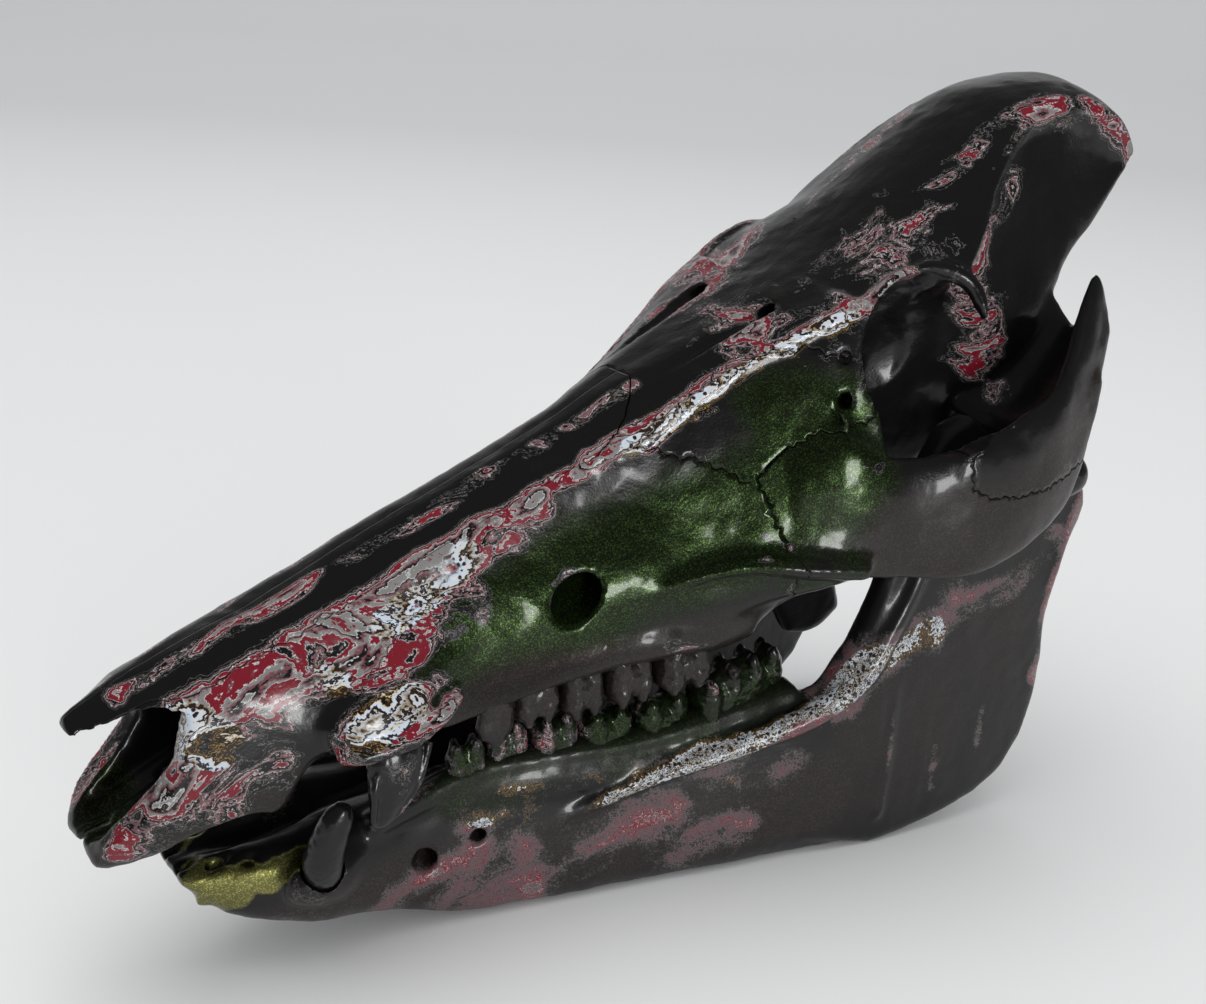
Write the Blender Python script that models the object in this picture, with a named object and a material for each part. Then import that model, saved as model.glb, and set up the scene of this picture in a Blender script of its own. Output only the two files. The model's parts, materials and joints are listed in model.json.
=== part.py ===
"""Wild pig skull resting on its lower jaw, life size, in metres with +Z up.

The skull is modelled in its own frame, in millimetres: x runs back from the front of the upper
jaw, y to the animal's right and z up, with the palate level. The last step tips it onto the table.
The upper skull is modelled whole and then parted along its sutures with thin cuts.
"""

import math

import bmesh
import bpy
from mathutils import Matrix, Vector

MM = 0.001
SUTURE_GAP = 0.3
VOXEL = 1.5
CRANIUM_TRIANGLES = 6400
MANDIBLE_TRIANGLES = 2300

# How the skull stands: tipped forward until both ends of the lower jaw meet the table.
REST_PITCH = math.radians(4.75)
REST_DROP = 16.7
FRAME_CENTRE_X = 156.36

FACE_END_X = 214.0
VAULT_START_X = 194.0
VAULT_END_X = 335.0
FACE_STEP = 4.0


def through(knots, x):
    """Value at x on a smooth curve through (x, value) knots, with no overshoot between them."""
    xs = [k[0] for k in knots]
    ys = [k[1] for k in knots]
    if x <= xs[0]:
        return ys[0]
    if x >= xs[-1]:
        return ys[-1]
    slopes = [(ys[i + 1] - ys[i]) / (xs[i + 1] - xs[i]) for i in range(len(xs) - 1)]
    i = max(j for j in range(len(slopes)) if xs[j] <= x)

    def tangent(j):
        if j == 0:
            return slopes[0]
        if j == len(slopes):
            return slopes[-1]
        if slopes[j - 1] * slopes[j] <= 0:
            return 0.0
        return 2 * slopes[j - 1] * slopes[j] / (slopes[j - 1] + slopes[j])

    span = xs[i + 1] - xs[i]
    t = (x - xs[i]) / span
    return (
        (2 * t**3 - 3 * t**2 + 1) * ys[i]
        + (t**3 - 2 * t**2 + t) * span * tangent(i)
        + (3 * t**2 - 2 * t**3) * ys[i + 1]
        + (t**3 - t**2) * span * tangent(i + 1)
    )


def new_object(name, bm):
    """A mesh object from a bmesh, with its faces pointing outwards."""
    bmesh.ops.recalc_face_normals(bm, faces=bm.faces)
    mesh = bpy.data.meshes.new(name)
    bm.to_mesh(mesh)
    bm.free()
    obj = bpy.data.objects.new(name, mesh)
    bpy.context.scene.collection.objects.link(obj)
    return obj


def loft(name, rings):
    """A closed solid through rings of points, each ring having as many points as the next."""
    bm = bmesh.new()
    loops = [[bm.verts.new(p) for p in ring] for ring in rings]
    count = len(rings[0])
    for first, second in zip(loops, loops[1:]):
        for i in range(count):
            j = (i + 1) % count
            bm.faces.new((first[i], first[j], second[j], second[i]))
    bm.faces.new(loops[0])
    bm.faces.new(reversed(loops[-1]))
    return new_object(name, bm)


def mirrored_ring(x, half):
    """A ring across the skull at x, from its right half given bottom to top as (y, z) points."""
    right = [(x, y, z) for y, z in half]
    left = [(x, -y, z) for y, z in reversed(half) if y > 0]
    return right + left


def rounded_half(points, steps=4):
    """The half section through (y, z) points, with each span rounded off by a smooth curve."""
    first, last = points[0], points[-1]
    ends = [(-points[1][0], points[1][1])] + points + [(-points[-2][0], points[-2][1])]
    smooth = []
    for a, b, c, d in zip(ends, ends[1:], ends[2:], ends[3:]):
        for s in range(steps):
            t = s / steps
            smooth.append(
                tuple(
                    0.5
                    * (
                        2 * b[k]
                        + (c[k] - a[k]) * t
                        + (2 * a[k] - 5 * b[k] + 4 * c[k] - d[k]) * t**2
                        + (3 * b[k] - a[k] - 3 * c[k] + d[k]) * t**3
                    )
                    for k in (0, 1)
                )
            )
    smooth.append(last)
    smooth[0] = first
    return [(max(y, 0.0), z) if 0 < i < len(smooth) - 1 else (0.0, z) for i, (y, z) in enumerate(smooth)]


def ellipse_ring(centre, across, along, points=20, power=2.0):
    """A ring of points round centre, spanned by two half-axis vectors. A higher power is squarer."""
    ring = []
    for i in range(points):
        a = 2 * math.pi * i / points
        c, s = math.cos(a), math.sin(a)
        ring.append(
            Vector(centre)
            + Vector(across) * math.copysign(abs(c) ** (2 / power), c)
            + Vector(along) * math.copysign(abs(s) ** (2 / power), s)
        )
    return ring


def sweep(name, stops, points=16, per_span=4):
    """A tapering limb along stops of (centre, half height, half width, side direction)."""
    count = len(stops)
    rings = []
    keys = [[(i, stop[0][k]) for i, stop in enumerate(stops)] for k in range(3)]
    tall = [(i, stop[1]) for i, stop in enumerate(stops)]
    wide = [(i, stop[2]) for i, stop in enumerate(stops)]
    sides = [[(i, stop[3][k]) for i, stop in enumerate(stops)] for k in range(3)]
    steps = (count - 1) * per_span
    for s in range(steps + 1):
        t = s / per_span
        centre = Vector([through(keys[k], t) for k in range(3)])
        ahead = Vector([through(keys[k], min(t + 0.05, count - 1)) for k in range(3)])
        behind = Vector([through(keys[k], max(t - 0.05, 0)) for k in range(3)])
        forward = (ahead - behind).normalized()
        side = Vector([through(sides[k], t) for k in range(3)])
        side = (side - forward * side.dot(forward)).normalized()
        rise = forward.cross(side)
        rings.append(ellipse_ring(centre, side * through(wide, t), rise * through(tall, t), points))
    return loft(name, rings)


def ball(name, centre, radii, turn=(0, 0, 0), segments=20):
    """An ellipsoid with the given half-axes, turned by degrees about x, y and z."""
    bm = bmesh.new()
    bmesh.ops.create_uvsphere(bm, u_segments=segments, v_segments=segments // 2, radius=1.0)
    spin = Matrix.Rotation(math.radians(turn[2]), 4, "Z")
    spin @= Matrix.Rotation(math.radians(turn[1]), 4, "Y")
    spin @= Matrix.Rotation(math.radians(turn[0]), 4, "X")
    place = Matrix.Translation(centre) @ spin @ Matrix.Diagonal((*radii, 1.0))
    bmesh.ops.transform(bm, matrix=place, verts=bm.verts)
    return new_object(name, bm)


def plate(name, outline, y_of, thickness, bevel=2.0):
    """A plate with an outline of (x, z) points, lying at y_of(x, z) and bevelled all round."""
    bm = bmesh.new()
    face = bm.faces.new([bm.verts.new((x, 0, z)) for x, z in outline])
    made = bmesh.ops.extrude_face_region(bm, geom=[face])
    far = [v for v in made["geom"] if isinstance(v, bmesh.types.BMVert)]
    bmesh.ops.translate(bm, verts=far, vec=(0, thickness, 0))
    bmesh.ops.recalc_face_normals(bm, faces=bm.faces)
    rims = [e for f in bm.faces if abs(f.normal.y) > 0.9 for e in f.edges]
    if bevel > 0:
        bmesh.ops.bevel(bm, geom=rims, offset=bevel, segments=2, profile=0.5, affect="EDGES", material=-1)
    bmesh.ops.triangulate(bm, faces=bm.faces)
    for v in bm.verts:
        v.co.y += y_of(v.co.x, v.co.z) - thickness / 2
    return new_object(name, bm)


def copy_mirrored(obj):
    """The same shape on the animal's right side."""
    bm = bmesh.new()
    bm.from_mesh(obj.data)
    bmesh.ops.scale(bm, vec=(1, -1, 1), verts=bm.verts)
    return new_object(obj.name + "_mirror", bm)


def both_sides(obj):
    return [obj, copy_mirrored(obj)]


def discard(objects):
    for obj in objects:
        bpy.data.objects.remove(obj)


def evaluated(obj):
    """Bakes an object's modifiers into its mesh."""
    graph = bpy.context.evaluated_depsgraph_get()
    mesh = bpy.data.meshes.new_from_object(obj.evaluated_get(graph))
    obj.modifiers.clear()
    obj.data = mesh
    return obj


def fused(name, pieces, voxel, rounds):
    """One skin over all the pieces: joined, remeshed in small voxels and smoothed."""
    bm = bmesh.new()
    for piece in pieces:
        bm.from_mesh(piece.data)
    discard(pieces)
    obj = new_object(name, bm)
    remesh = obj.modifiers.new("skin", "REMESH")
    remesh.mode = "VOXEL"
    remesh.voxel_size = voxel
    smooth = obj.modifiers.new("soften", "SMOOTH")
    smooth.factor = 0.5
    smooth.iterations = rounds
    return evaluated(obj)


def combine(obj, others, operation):
    """Unites, cuts or intersects obj with the others, which are used up."""
    group = bpy.data.collections.new("tools")
    bpy.context.scene.collection.children.link(group)
    for other in others:
        group.objects.link(other)
    boolean = obj.modifiers.new(operation.lower(), "BOOLEAN")
    boolean.operation = operation
    boolean.solver = "MANIFOLD"
    boolean.operand_type = "COLLECTION"
    boolean.collection = group
    evaluated(obj)
    discard(others)
    bpy.data.collections.remove(group)
    return largest(obj)


def largest(obj):
    """Keeps only the largest closed surface of a mesh."""
    bm = bmesh.new()
    bm.from_mesh(obj.data)
    unseen = set(bm.verts)
    shells = []
    while unseen:
        start = unseen.pop()
        shell = [start]
        queue = [start]
        while queue:
            for edge in queue.pop().link_edges:
                for v in edge.verts:
                    if v in unseen:
                        unseen.remove(v)
                        shell.append(v)
                        queue.append(v)
        shells.append(shell)

    def reach(shell):
        low = [min(v.co[k] for v in shell) for k in range(3)]
        high = [max(v.co[k] for v in shell) for k in range(3)]
        return sum((b - a) ** 2 for a, b in zip(low, high))

    keep = max(shells, key=reach)
    for shell in shells:
        if shell is not keep:
            bmesh.ops.delete(bm, geom=shell, context="VERTS")
    bm.to_mesh(obj.data)
    bm.free()
    return obj


def thinned(obj, triangles):
    """Fewer, larger triangles where the surface is plain."""
    count = sum(len(p.vertices) - 2 for p in obj.data.polygons)
    decimate = obj.modifiers.new("thin", "DECIMATE")
    decimate.ratio = min(1.0, triangles / count)
    decimate.use_collapse_triangulate = True
    return evaluated(obj)


# The profile of the skull seen from the side, front to back.
TOP_LINE = [(2, 94.2), (5, 95.6), (10, 97.7), (20, 101.5), (30, 104.3), (45, 108.4), (60, 113.7),
            (80, 120.6), (100, 127.3), (120, 134), (140, 140.7), (155, 147), (170, 152.8), (190, 160.5),
            (214, 170), (230, 177.5), (250, 189), (270, 201), (284, 209.5), (298, 215.8), (320, 218.5),
            (335, 212.5)]
RIDGE_WIDTH = [(2, 1.5), (10, 2.6), (20, 4.2), (30, 6), (45, 7.2), (60, 6.6), (100, 6), (140, 6.4),
               (155, 8), (170, 11), (190, 17), (214, 24)]
TOP_EDGE_WIDTH = [(2, 3.5), (8, 5.5), (12, 7.2), (16, 8.8), (21, 9.8), (25, 11.2), (31, 12.8),
                  (45, 12.8), (60, 12.8), (80, 13.2), (100, 14.2), (120, 15.4), (140, 17.2), (155, 19),
                  (165, 20.6), (175, 22.8), (185, 25.5), (195, 29), (205, 33), (214, 37)]
TOP_EDGE_LINE = [(2, 91.6), (8, 93), (12, 95), (16, 96.9), (21, 98.4), (25, 97.6), (31, 98.6),
                 (45, 102.8), (60, 107.4), (80, 113.6), (100, 119.2), (120, 125.2), (140, 131),
                 (155, 137), (165, 142), (175, 147.5), (185, 153), (195, 157.5), (205, 162), (214, 166)]
ALVEOLAR_WIDTH = [(2, 10.5), (5, 13.5), (10, 16), (17, 18), (31, 20.5), (44, 22.5), (52, 23), (61, 26),
                  (70, 28.5), (80, 27.5), (90, 24.5), (101, 24.8), (120, 27), (146, 31.5), (172, 35.5),
                  (190, 30), (214, 24)]
ALVEOLAR_LINE = [(2, 57.5), (10, 59.5), (17, 61), (25, 63.5), (31, 64.5), (38, 65), (44, 63.5),
                 (47, 65.5), (50, 71), (54, 75.5), (61, 76), (70, 75.5), (80, 74.5), (92, 72),
                 (101, 72.5), (120, 75), (146, 76), (172, 75), (188, 79), (214, 90)]
PALATE_LINE = [(2, 59.5), (17, 63), (31, 66.5), (44, 68), (60, 74.5), (80, 77), (100, 79), (130, 81),
               (172, 81), (190, 84), (214, 94)]
CHEEK_WIDTH = [(2, 12), (5, 15), (10, 17.8), (17, 19.4), (28, 20.4), (45, 21.6), (60, 25.5), (75, 28.5),
               (92, 25), (110, 26.5), (127, 29), (145, 32.5), (165, 36.5), (180, 39), (200, 44),
               (214, 46)]
CHEEK_LINE = [(3, 68), (28, 72), (45, 80), (60, 83.5), (75, 85), (92, 85), (127, 87), (145, 89),
              (165, 84), (180, 86), (214, 96)]
FACE_WIDTH = [(2, 11), (5, 14.4), (10, 17.4), (17, 19.4), (28, 19.6), (45, 20), (60, 20.5), (75, 21.5),
              (92, 22), (110, 24), (127, 27), (145, 32), (165, 39), (180, 45.5), (200, 54.5), (214, 57)]
FACE_LINE = [(3, 78), (28, 84), (45, 90), (70, 96), (100, 99), (127, 101), (145, 102), (165, 97),
             (180, 98), (200, 100), (214, 102)]
HOLLOW_WIDTH = [(2, 7), (5, 10), (10, 13), (17, 17), (28, 18.6), (45, 17.5), (70, 17), (100, 17.6),
                (125, 19.6), (145, 22.5), (166, 29), (190, 38), (204, 43), (214, 47)]
HOLLOW_LINE = [(2, 86), (28, 92), (45, 96.5), (70, 102.5), (100, 110), (125, 115.5), (145, 120),
               (166, 126), (190, 136), (214, 142)]

VAULT_WIDTH = [(194, 28), (203, 32.5), (214, 36.5), (225, 38), (240, 39.5), (250, 41), (260, 38),
               (270, 31.5), (282, 26.5), (295, 23), (308, 24), (320, 28), (329, 31.5), (335, 30.5)]
VAULT_EDGE = [(194, 155), (203, 159.5), (214, 164.5), (225, 170), (240, 173), (250, 174), (260, 183),
              (270, 193), (282, 202), (295, 208.5), (308, 211.5), (320, 209.5), (329, 203), (335, 196)]
SHOULDER_WIDTH = [(194, 20), (225, 24), (250, 24), (270, 18), (295, 14), (335, 17)]
EAVE_WIDTH = [(194, 25), (203, 29), (214, 33), (225, 34.5), (240, 36), (250, 37.5), (260, 35),
              (270, 29), (282, 24.5), (295, 22), (308, 23), (320, 27), (335, 29.5)]
EAVE_LINE = [(194, 149), (203, 153), (214, 158.5), (225, 164), (240, 167), (250, 168), (260, 176),
             (270, 186), (282, 195), (295, 201), (308, 204), (320, 202), (335, 193)]
TEMPLE_WIDTH = [(194, 20), (210, 21), (225, 23), (240, 27), (250, 30), (262, 30), (275, 28), (290, 26),
                (305, 25), (320, 27), (335, 28)]
TEMPLE_LINE = [(194, 146), (225, 155), (250, 162), (270, 172), (290, 182), (305, 186), (320, 192),
               (335, 192)]
BRAINCASE_WIDTH = [(194, 18), (210, 18), (225, 19.5), (240, 23), (250, 26), (262, 30), (275, 33),
                   (290, 34), (302, 31), (312, 29), (322, 30), (335, 29)]
BRAINCASE_LINE = [(194, 120), (225, 125), (250, 134), (275, 141), (290, 144), (300, 156), (310, 170),
                  (322, 182), (335, 194)]
BASE_WIDTH = [(194, 14), (225, 14), (250, 16), (275, 20), (290, 22), (300, 23), (310, 25), (335, 27)]
BASE_LINE = [(194, 92), (225, 97), (250, 101), (275, 105), (288, 109), (296, 126), (302, 147),
             (310, 164), (320, 174), (328, 184), (335, 191)]
NAPE_HOLLOW = [(194, 0), (290, 0), (302, 3), (320, 7), (335, 5)]


def face_half(x):
    """The right half of the muzzle's section at x, from the palate to the nasal ridge."""
    rim = through(ALVEOLAR_WIDTH, x)
    rim_z = through(ALVEOLAR_LINE, x)
    roof = through(PALATE_LINE, x)
    edge = through(TOP_EDGE_WIDTH, x)
    edge_z = through(TOP_EDGE_LINE, x)
    top = through(TOP_LINE, x)
    return rounded_half([
        (0, roof),
        (rim * 0.62, roof - 0.5),
        (rim - 1.2, rim_z),
        (through(CHEEK_WIDTH, x), through(CHEEK_LINE, x)),
        (through(FACE_WIDTH, x), through(FACE_LINE, x)),
        (through(HOLLOW_WIDTH, x), through(HOLLOW_LINE, x)),
        (edge, edge_z),
        (through(RIDGE_WIDTH, x), top - 0.7),
        (0, top),
    ])


def vault_half(x):
    """The right half of the brow and braincase at x, from the skull base to the crown."""
    edge = through(VAULT_WIDTH, x)
    edge_z = through(VAULT_EDGE, x)
    top = through(TOP_LINE, x)
    base = through(BASE_LINE, x)
    return rounded_half([
        (0, base + through(NAPE_HOLLOW, x)),
        (through(BASE_WIDTH, x), base),
        (through(BRAINCASE_WIDTH, x), through(BRAINCASE_LINE, x)),
        (through(TEMPLE_WIDTH, x), through(TEMPLE_LINE, x)),
        (through(EAVE_WIDTH, x), through(EAVE_LINE, x)),
        (edge, edge_z),
        (through(SHOULDER_WIDTH, x), edge_z + 0.7 * (top - edge_z)),
        (0, top),
    ])


def stations(start, end, step):
    count = max(2, round((end - start) / step))
    return [start + (end - start) * i / count for i in range(count + 1)]


ARCH_OUTER = [(188, 48), (202, 55), (210, 57.5), (218, 59.5), (228, 63), (236, 66), (246, 67.5),
              (256, 68), (266, 67.5), (275, 66.5), (282, 65), (288, 62.5), (294, 60)]
ARCH_LOW = [(188, 93), (202, 93), (218, 91.5), (228, 90), (236, 89.8), (246, 91), (256, 93.3),
            (266, 97), (275, 102.5), (281, 112), (286, 127), (290.5, 142), (294, 150)]
ARCH_HIGH = [(188, 130), (202, 136), (210, 130), (217, 126), (226, 126), (233, 131), (237, 133),
             (243, 130.5), (256, 135), (266, 139.5), (273, 147), (279, 158), (285, 166.5), (289.5, 169),
             (294, 163)]
ARCH_THICKNESS = [(188, 15), (202, 13), (212, 10.5), (228, 9.5), (246, 9), (266, 8), (280, 7),
                  (294, 4.5)]
ARCH_LEAN = [(188, 5), (212, 4), (236, 3), (266, 0.5), (280, 4), (294, 5)]


def arch_ring(x):
    """The left cheek arch at x: a tall thin oval whose upper edge leans inwards."""
    low = through(ARCH_LOW, x)
    high = through(ARCH_HIGH, x)
    outer = through(ARCH_OUTER, x)
    thick = through(ARCH_THICKNESS, x)
    lean = through(ARCH_LEAN, x)
    centre = (x, -outer + thick / 2 + lean * 0.4, (low + high) / 2)
    return ellipse_ring(centre, (0, thick / 2, 0), (0, lean / 2, (high - low) / 2), 24, 2.6)


def cheek_arch():
    return loft("cheek_arch", [arch_ring(x) for x in stations(188, 294, 3)])


ROOT_FRONT = [(-64, 270), (-52, 268), (-44, 267), (-28, 262), (-20, 258)]
ROOT_BACK = [(-64, 287), (-56, 291), (-48, 297), (-40, 303), (-28, 304), (-20, 300)]
ROOT_FLOOR = [(-64, 114), (-52, 115.5), (-36, 115), (-20, 108)]
ROOT_TOP_BACK = [(-64, 140), (-56, 150), (-48, 152), (-40, 149), (-32, 156), (-20, 160)]
ROOT_TOP_FRONT = [(-64, 130), (-52, 127), (-40, 125), (-28, 132), (-20, 140)]


def arch_root():
    """The bridge from the braincase out to the left cheek arch, which carries the jaw joint."""
    rings = []
    for y in stations(-64, -20, 4):
        front, back = through(ROOT_FRONT, y), through(ROOT_BACK, y)
        floor = through(ROOT_FLOOR, y)
        top_f, top_b = through(ROOT_TOP_FRONT, y), through(ROOT_TOP_BACK, y)
        mid = (front + back) / 2
        rings.append([
            (front + 2, y, floor + 2),
            (mid, y, floor),
            (back - 6, y, floor + 1),
            (back - 2, y, (floor + top_b) / 2),
            (back, y, top_b - 3),
            (back - 3, y, top_b),
            (mid, y, (top_f + top_b) / 2 - 4),
            (front + 3, y, top_f),
            (front, y, top_f - 4),
        ])
    return loft("arch_root", rings)


ORBIT_RIM = [(208.5, -42.5, 141), (210, -40.5, 149), (212, -38, 156.5), (217.5, -37, 165.5),
             (227, -37, 171.5), (238, -38.5, 173.6), (247, -41.5, 170.8), (251, -45.5, 165),
             (250.5, -48.5, 158.5)]


def brow_rim():
    """The thick upper rim of the left eye socket, down to the tip of its rear process."""
    sizes = [2.2, 2.4, 2.4, 2.4, 2.4, 2.6, 2.8, 2.6, 1.6]
    return sweep("brow_rim", [(p, s, s, (0, 1, 0)) for p, s in zip(ORBIT_RIM, sizes)], points=12)


def canine_ridge():
    """The swelling over the root of the left upper canine, with the crest along its socket."""
    out = (0, 1, 0)
    return [
        ball("canine_root", (70, -25.5, 82), (14, 7, 9)),
        sweep("canine_crest", [((57, -28.5, 78.5), 2.2, 3, out), ((64, -31.2, 78), 2.6, 3.6, out),
                               ((73, -32.2, 78.6), 2.6, 3.6, out), ((82, -30.8, 80.2), 2.2, 3, out),
                               ((92, -26.8, 83), 1.4, 2, out)], points=12),
    ]


def upper_tooth_ridge():
    """The ridge of bone that the left upper cheek teeth stand in."""
    out = (0, 1, 0)
    return sweep("upper_tooth_ridge", [((97, -21.5, 80), 6.5, 3.6, out), ((112, -22.5, 82), 6.8, 4.6, out),
                                       ((125, -23.8, 82), 7, 5.6, out), ((140, -26, 82.5), 7, 6.6, out),
                                       ((155, -28.8, 82.5), 7, 7.4, out), ((170, -31, 81.5), 7, 6.6, out),
                                       ((182, -31.5, 81), 6.5, 5, out)], points=14)


def pterygoids():
    """The left wing that hangs behind the palate, ending in a small hook."""
    outline = [(196, 92), (200, 80), (204, 72), (209, 62.5), (216, 60), (223, 60.5), (231, 65),
               (229, 71), (226, 82), (232, 95), (238, 104), (215, 104)]
    return plate("pterygoid", outline, lambda x, z: -17.5 - 0.04 * (z - 80), 6.0, 1.5)


def skull_base():
    """The drum of the ear, the neck joint and the long process behind the jaw, on the left."""
    out = (0, 1, 0)
    return [
        ball("ear_drum", (270, -16.5, 101), (10, 7.5, 13), (0, -12, 0)),
        ball("neck_joint", (303, -11, 127), (10, 7.5, 12), (0, 25, 0)),
        sweep("jugular_process", [((292, -27, 132), 9, 6, out), ((290, -28, 112), 7, 4.5, out),
                                  ((287, -27, 96), 5.5, 3.4, out), ((284, -25, 82), 2.8, 2.2, out)],
              points=14),
        sweep("ear_canal", [((286, -30, 128), 6, 6, out), ((293, -38, 134), 5, 5, out),
                            ((298, -43, 140), 4.2, 4.2, out)], points=12),
    ]


def nasal_cavity():
    """The hollow behind the nostrils, open at the front and closed behind the canines."""
    rings = []
    for x in stations(-14, 112, 6):
        t = min(max((x - 3) / 109, 0), 1)
        wide = through([(-14, 10), (10, 11), (28, 12.5), (60, 12.5), (84, 11), (100, 9.5), (112, 6)], x)
        floor = through([(-14, 62), (5, 62), (30, 69), (60, 77), (112, 92)], x)
        roof = through(TOP_LINE, x) - through([(-14, 4.5), (20, 5.2), (68, 5.8), (84, 11), (112, 16)], x)
        high = (floor + roof) / 2
        rings.append([
            (x, 0, floor + 3 + 3 * t),
            (x, wide * 0.35, floor),
            (x, wide * 0.85, floor + 3),
            (x, wide, high),
            (x, wide * 0.8, roof - 3),
            (x, wide * 0.3, roof),
            (x, -wide * 0.3, roof),
            (x, -wide * 0.8, roof - 3),
            (x, -wide, high),
            (x, -wide * 0.85, floor + 3),
            (x, -wide * 0.35, floor),
        ])
    return loft("nasal_cavity", rings)


def nostril_notch():
    """The side view of the nose opening, cut right across between the nasal tips and upper jaw."""
    outline = [(-14, 90.4), (3, 90.6), (8, 91.6), (11.5, 93.2), (15.3, 95), (20.8, 96), (24, 94.8),
               (27.5, 94.4), (25.6, 90), (24.2, 85.5), (22.3, 81.5), (19, 77.5), (15, 73.6), (11, 70.6),
               (7.5, 67.6), (4.6, 64.8), (2.6, 61.5), (-14, 58.5)]
    return plate("nostril_notch", outline, lambda x, z: 0, 90, 0.5)


def eye_socket():
    """The left eye socket, from its rim in to the wall of the braincase."""
    stops = [(-80, 232, 152, 23, 27), (-52, 231.5, 151.5, 21, 25.5), (-40, 231.5, 149.5, 20, 24.3),
             (-30, 231, 147, 17, 20.5), (-24, 230, 145, 12, 14), (-21, 229, 144, 5, 6)]
    rings = [ellipse_ring((x, y, z), (a, 0, 0), (0, 0, b), 28) for y, x, z, a, b in stops]
    return loft("eye_socket", rings)


def face_holes():
    """The nerve and tear openings of the left side, each a short tapered channel."""
    up = (0, 0, 1)
    across = (0, 1, 0)
    return [
        sweep("cheek_nerve", [((119, -36, 98), 6, 7, up), ((127, -27, 99.5), 5.6, 6.4, up),
                              ((137, -22, 101), 4, 4.4, up), ((146, -19, 103), 2, 2, up)], points=16),
        sweep("tear_upper", [((198, -48, 157), 2.2, 2.6, up), ((206, -40, 154), 1.9, 2.2, up),
                             ((213, -35, 151), 1.2, 1.4, up)], points=12),
        sweep("tear_lower", [((196, -51, 145), 2.4, 2.8, up), ((205, -42, 142.5), 2.1, 2.4, up),
                             ((212, -36, 140), 1.2, 1.4, up)], points=12),
        sweep("brow_nerve", [((215, -15.5, 158), 1.4, 1.8, across), ((206, -15, 160.5), 2.2, 2.4, across),
                             ((197, -14.5, 162.4), 2.9, 2.9, across), ((189, -13.8, 160.4), 2.7, 2.9, across),
                             ((176, -12.5, 155.2), 2.3, 2.5, across), ((160, -11.6, 149), 1.6, 1.8, across)],
              points=12),
        ball("palate_slot", (34, -5.5, 66), (10, 2.8, 9)),
    ]


def midline_holes():
    """The opening for the spinal cord, the rear of the nose and the cleft between the front teeth."""
    side = (0, 1, 0)
    cleft = plate("front_cleft", [(-6, 40), (8, 40), (12, 70), (-6, 72)], lambda x, z: 0, 2.2, 0.3)
    return [
        sweep("cord_hole", [((320, 0, 148), 11, 10.5, side), ((300, 0, 139), 10, 10, side),
                            ((285, 0, 136), 10, 10, side), ((268, 0, 138), 6, 6, side)], points=16),
        sweep("rear_nose", [((236, 0, 76), 11, 11.5, side), ((214, 0, 86), 11, 11.5, side),
                            ((200, 0, 92), 9, 11, side), ((182, 0, 99), 5, 7, side)], points=16),
        cleft,
    ]


def lower_jaw_bar():
    """The left bar of the lower jaw, from the chin back to where the rear plate rises."""
    low = [(22, 44), (27, 38.5), (31, 33), (36, 29.8), (46, 25.8), (57, 23), (66, 20.6), (75, 17.2),
           (84, 13.6), (91, 11), (99, 9.6), (111, 8.4), (129, 6.4), (150, 4.5), (169, 3), (185, 1.5),
           (200, 0), (222, -2)]
    high = [(22, 47), (34, 48.5), (50, 49), (62, 51), (76, 50.5), (92, 54), (105, 54), (120, 51.5),
            (140, 48.5), (165, 47.5), (180, 49.5), (200, 54), (222, 62)]
    outer = [(22, 9.5), (34, 14), (45, 18), (55, 22), (65, 21.5), (78, 20), (90, 20.8), (105, 23),
             (120, 25.5), (140, 29.5), (160, 34), (180, 39), (200, 44), (222, 48)]
    inner = [(22, -1), (60, -1), (76, -0.5), (84, 2), (92, 5), (105, 8), (120, 10.5), (140, 14),
             (160, 18.5), (180, 24), (200, 31), (222, 38)]
    lean = [(22, 0), (60, 0), (90, 2), (120, 3), (160, 3), (200, 0), (222, -1)]
    rings = []
    for x in stations(22, 222, 5):
        bottom, top = through(low, x), through(high, x)
        a, b = through(outer, x), through(inner, x)
        tilt = through(lean, x)
        centre = (x, -(a + b) / 2, (bottom + top) / 2)
        rings.append(ellipse_ring(centre, (0, (a - b) / 2, 0), (0, tilt, (top - bottom) / 2), 24, 2.5))
    return loft("jaw_bar", rings)


def lower_tooth_ridge():
    """The ridge of bone that the left lower cheek teeth stand in."""
    out = (0, 1, 0)
    return sweep("lower_tooth_ridge", [((90, -15.5, 46.6), 7.5, 4.4, out), ((105, -16.6, 46.2), 7.5, 5, out),
                                       ((120, -19, 45.4), 7.5, 6, out), ((135, -21.2, 44), 7.5, 7, out),
                                       ((150, -23.8, 43), 7.5, 7.6, out), ((165, -26.5, 44), 7.5, 8, out),
                                       ((180, -29, 45.6), 7.5, 8.2, out), ((197, -33, 47.5), 7, 7, out)],
                 points=14)


def lower_jaw_plate():
    """The left rear plate of the lower jaw, with its rounded angle and its upper process."""
    outline = [(196, 6), (198, 48), (207, 58), (214, 67), (221, 81), (229, 102), (236, 119),
               (243, 128.5), (251, 130.5), (257, 126), (262, 114), (268, 107.5), (280, 105), (294, 106),
               (300, 99), (298.5, 89), (290.5, 78), (287, 62), (286.5, 46), (284.5, 32), (280, 18),
               (273, 8.5), (262, 3), (248, 0), (234, -1.6), (221, -2)]

    def lie(x, z):
        side = through([(196, 38.6), (210, 41.2), (222, 43.6), (250, 47), (280, 50), (300, 51.5)], x)
        return 0.03 * max(z - 30, 0) - side

    return plate("jaw_plate", outline, lie, 8.5, 2.6)


def lower_jaw_joint():
    """The left joint head, a bar set across the top of the rear plate."""
    return ball("jaw_joint", (286, -48.5, 107), (9, 12.5, 8.5), (0, -10, 8))


def lower_canine_socket():
    return ball("canine_socket", (55.5, -19.3, 41), (11.5, 8, 8.2), (0, 0, 12))


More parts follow.
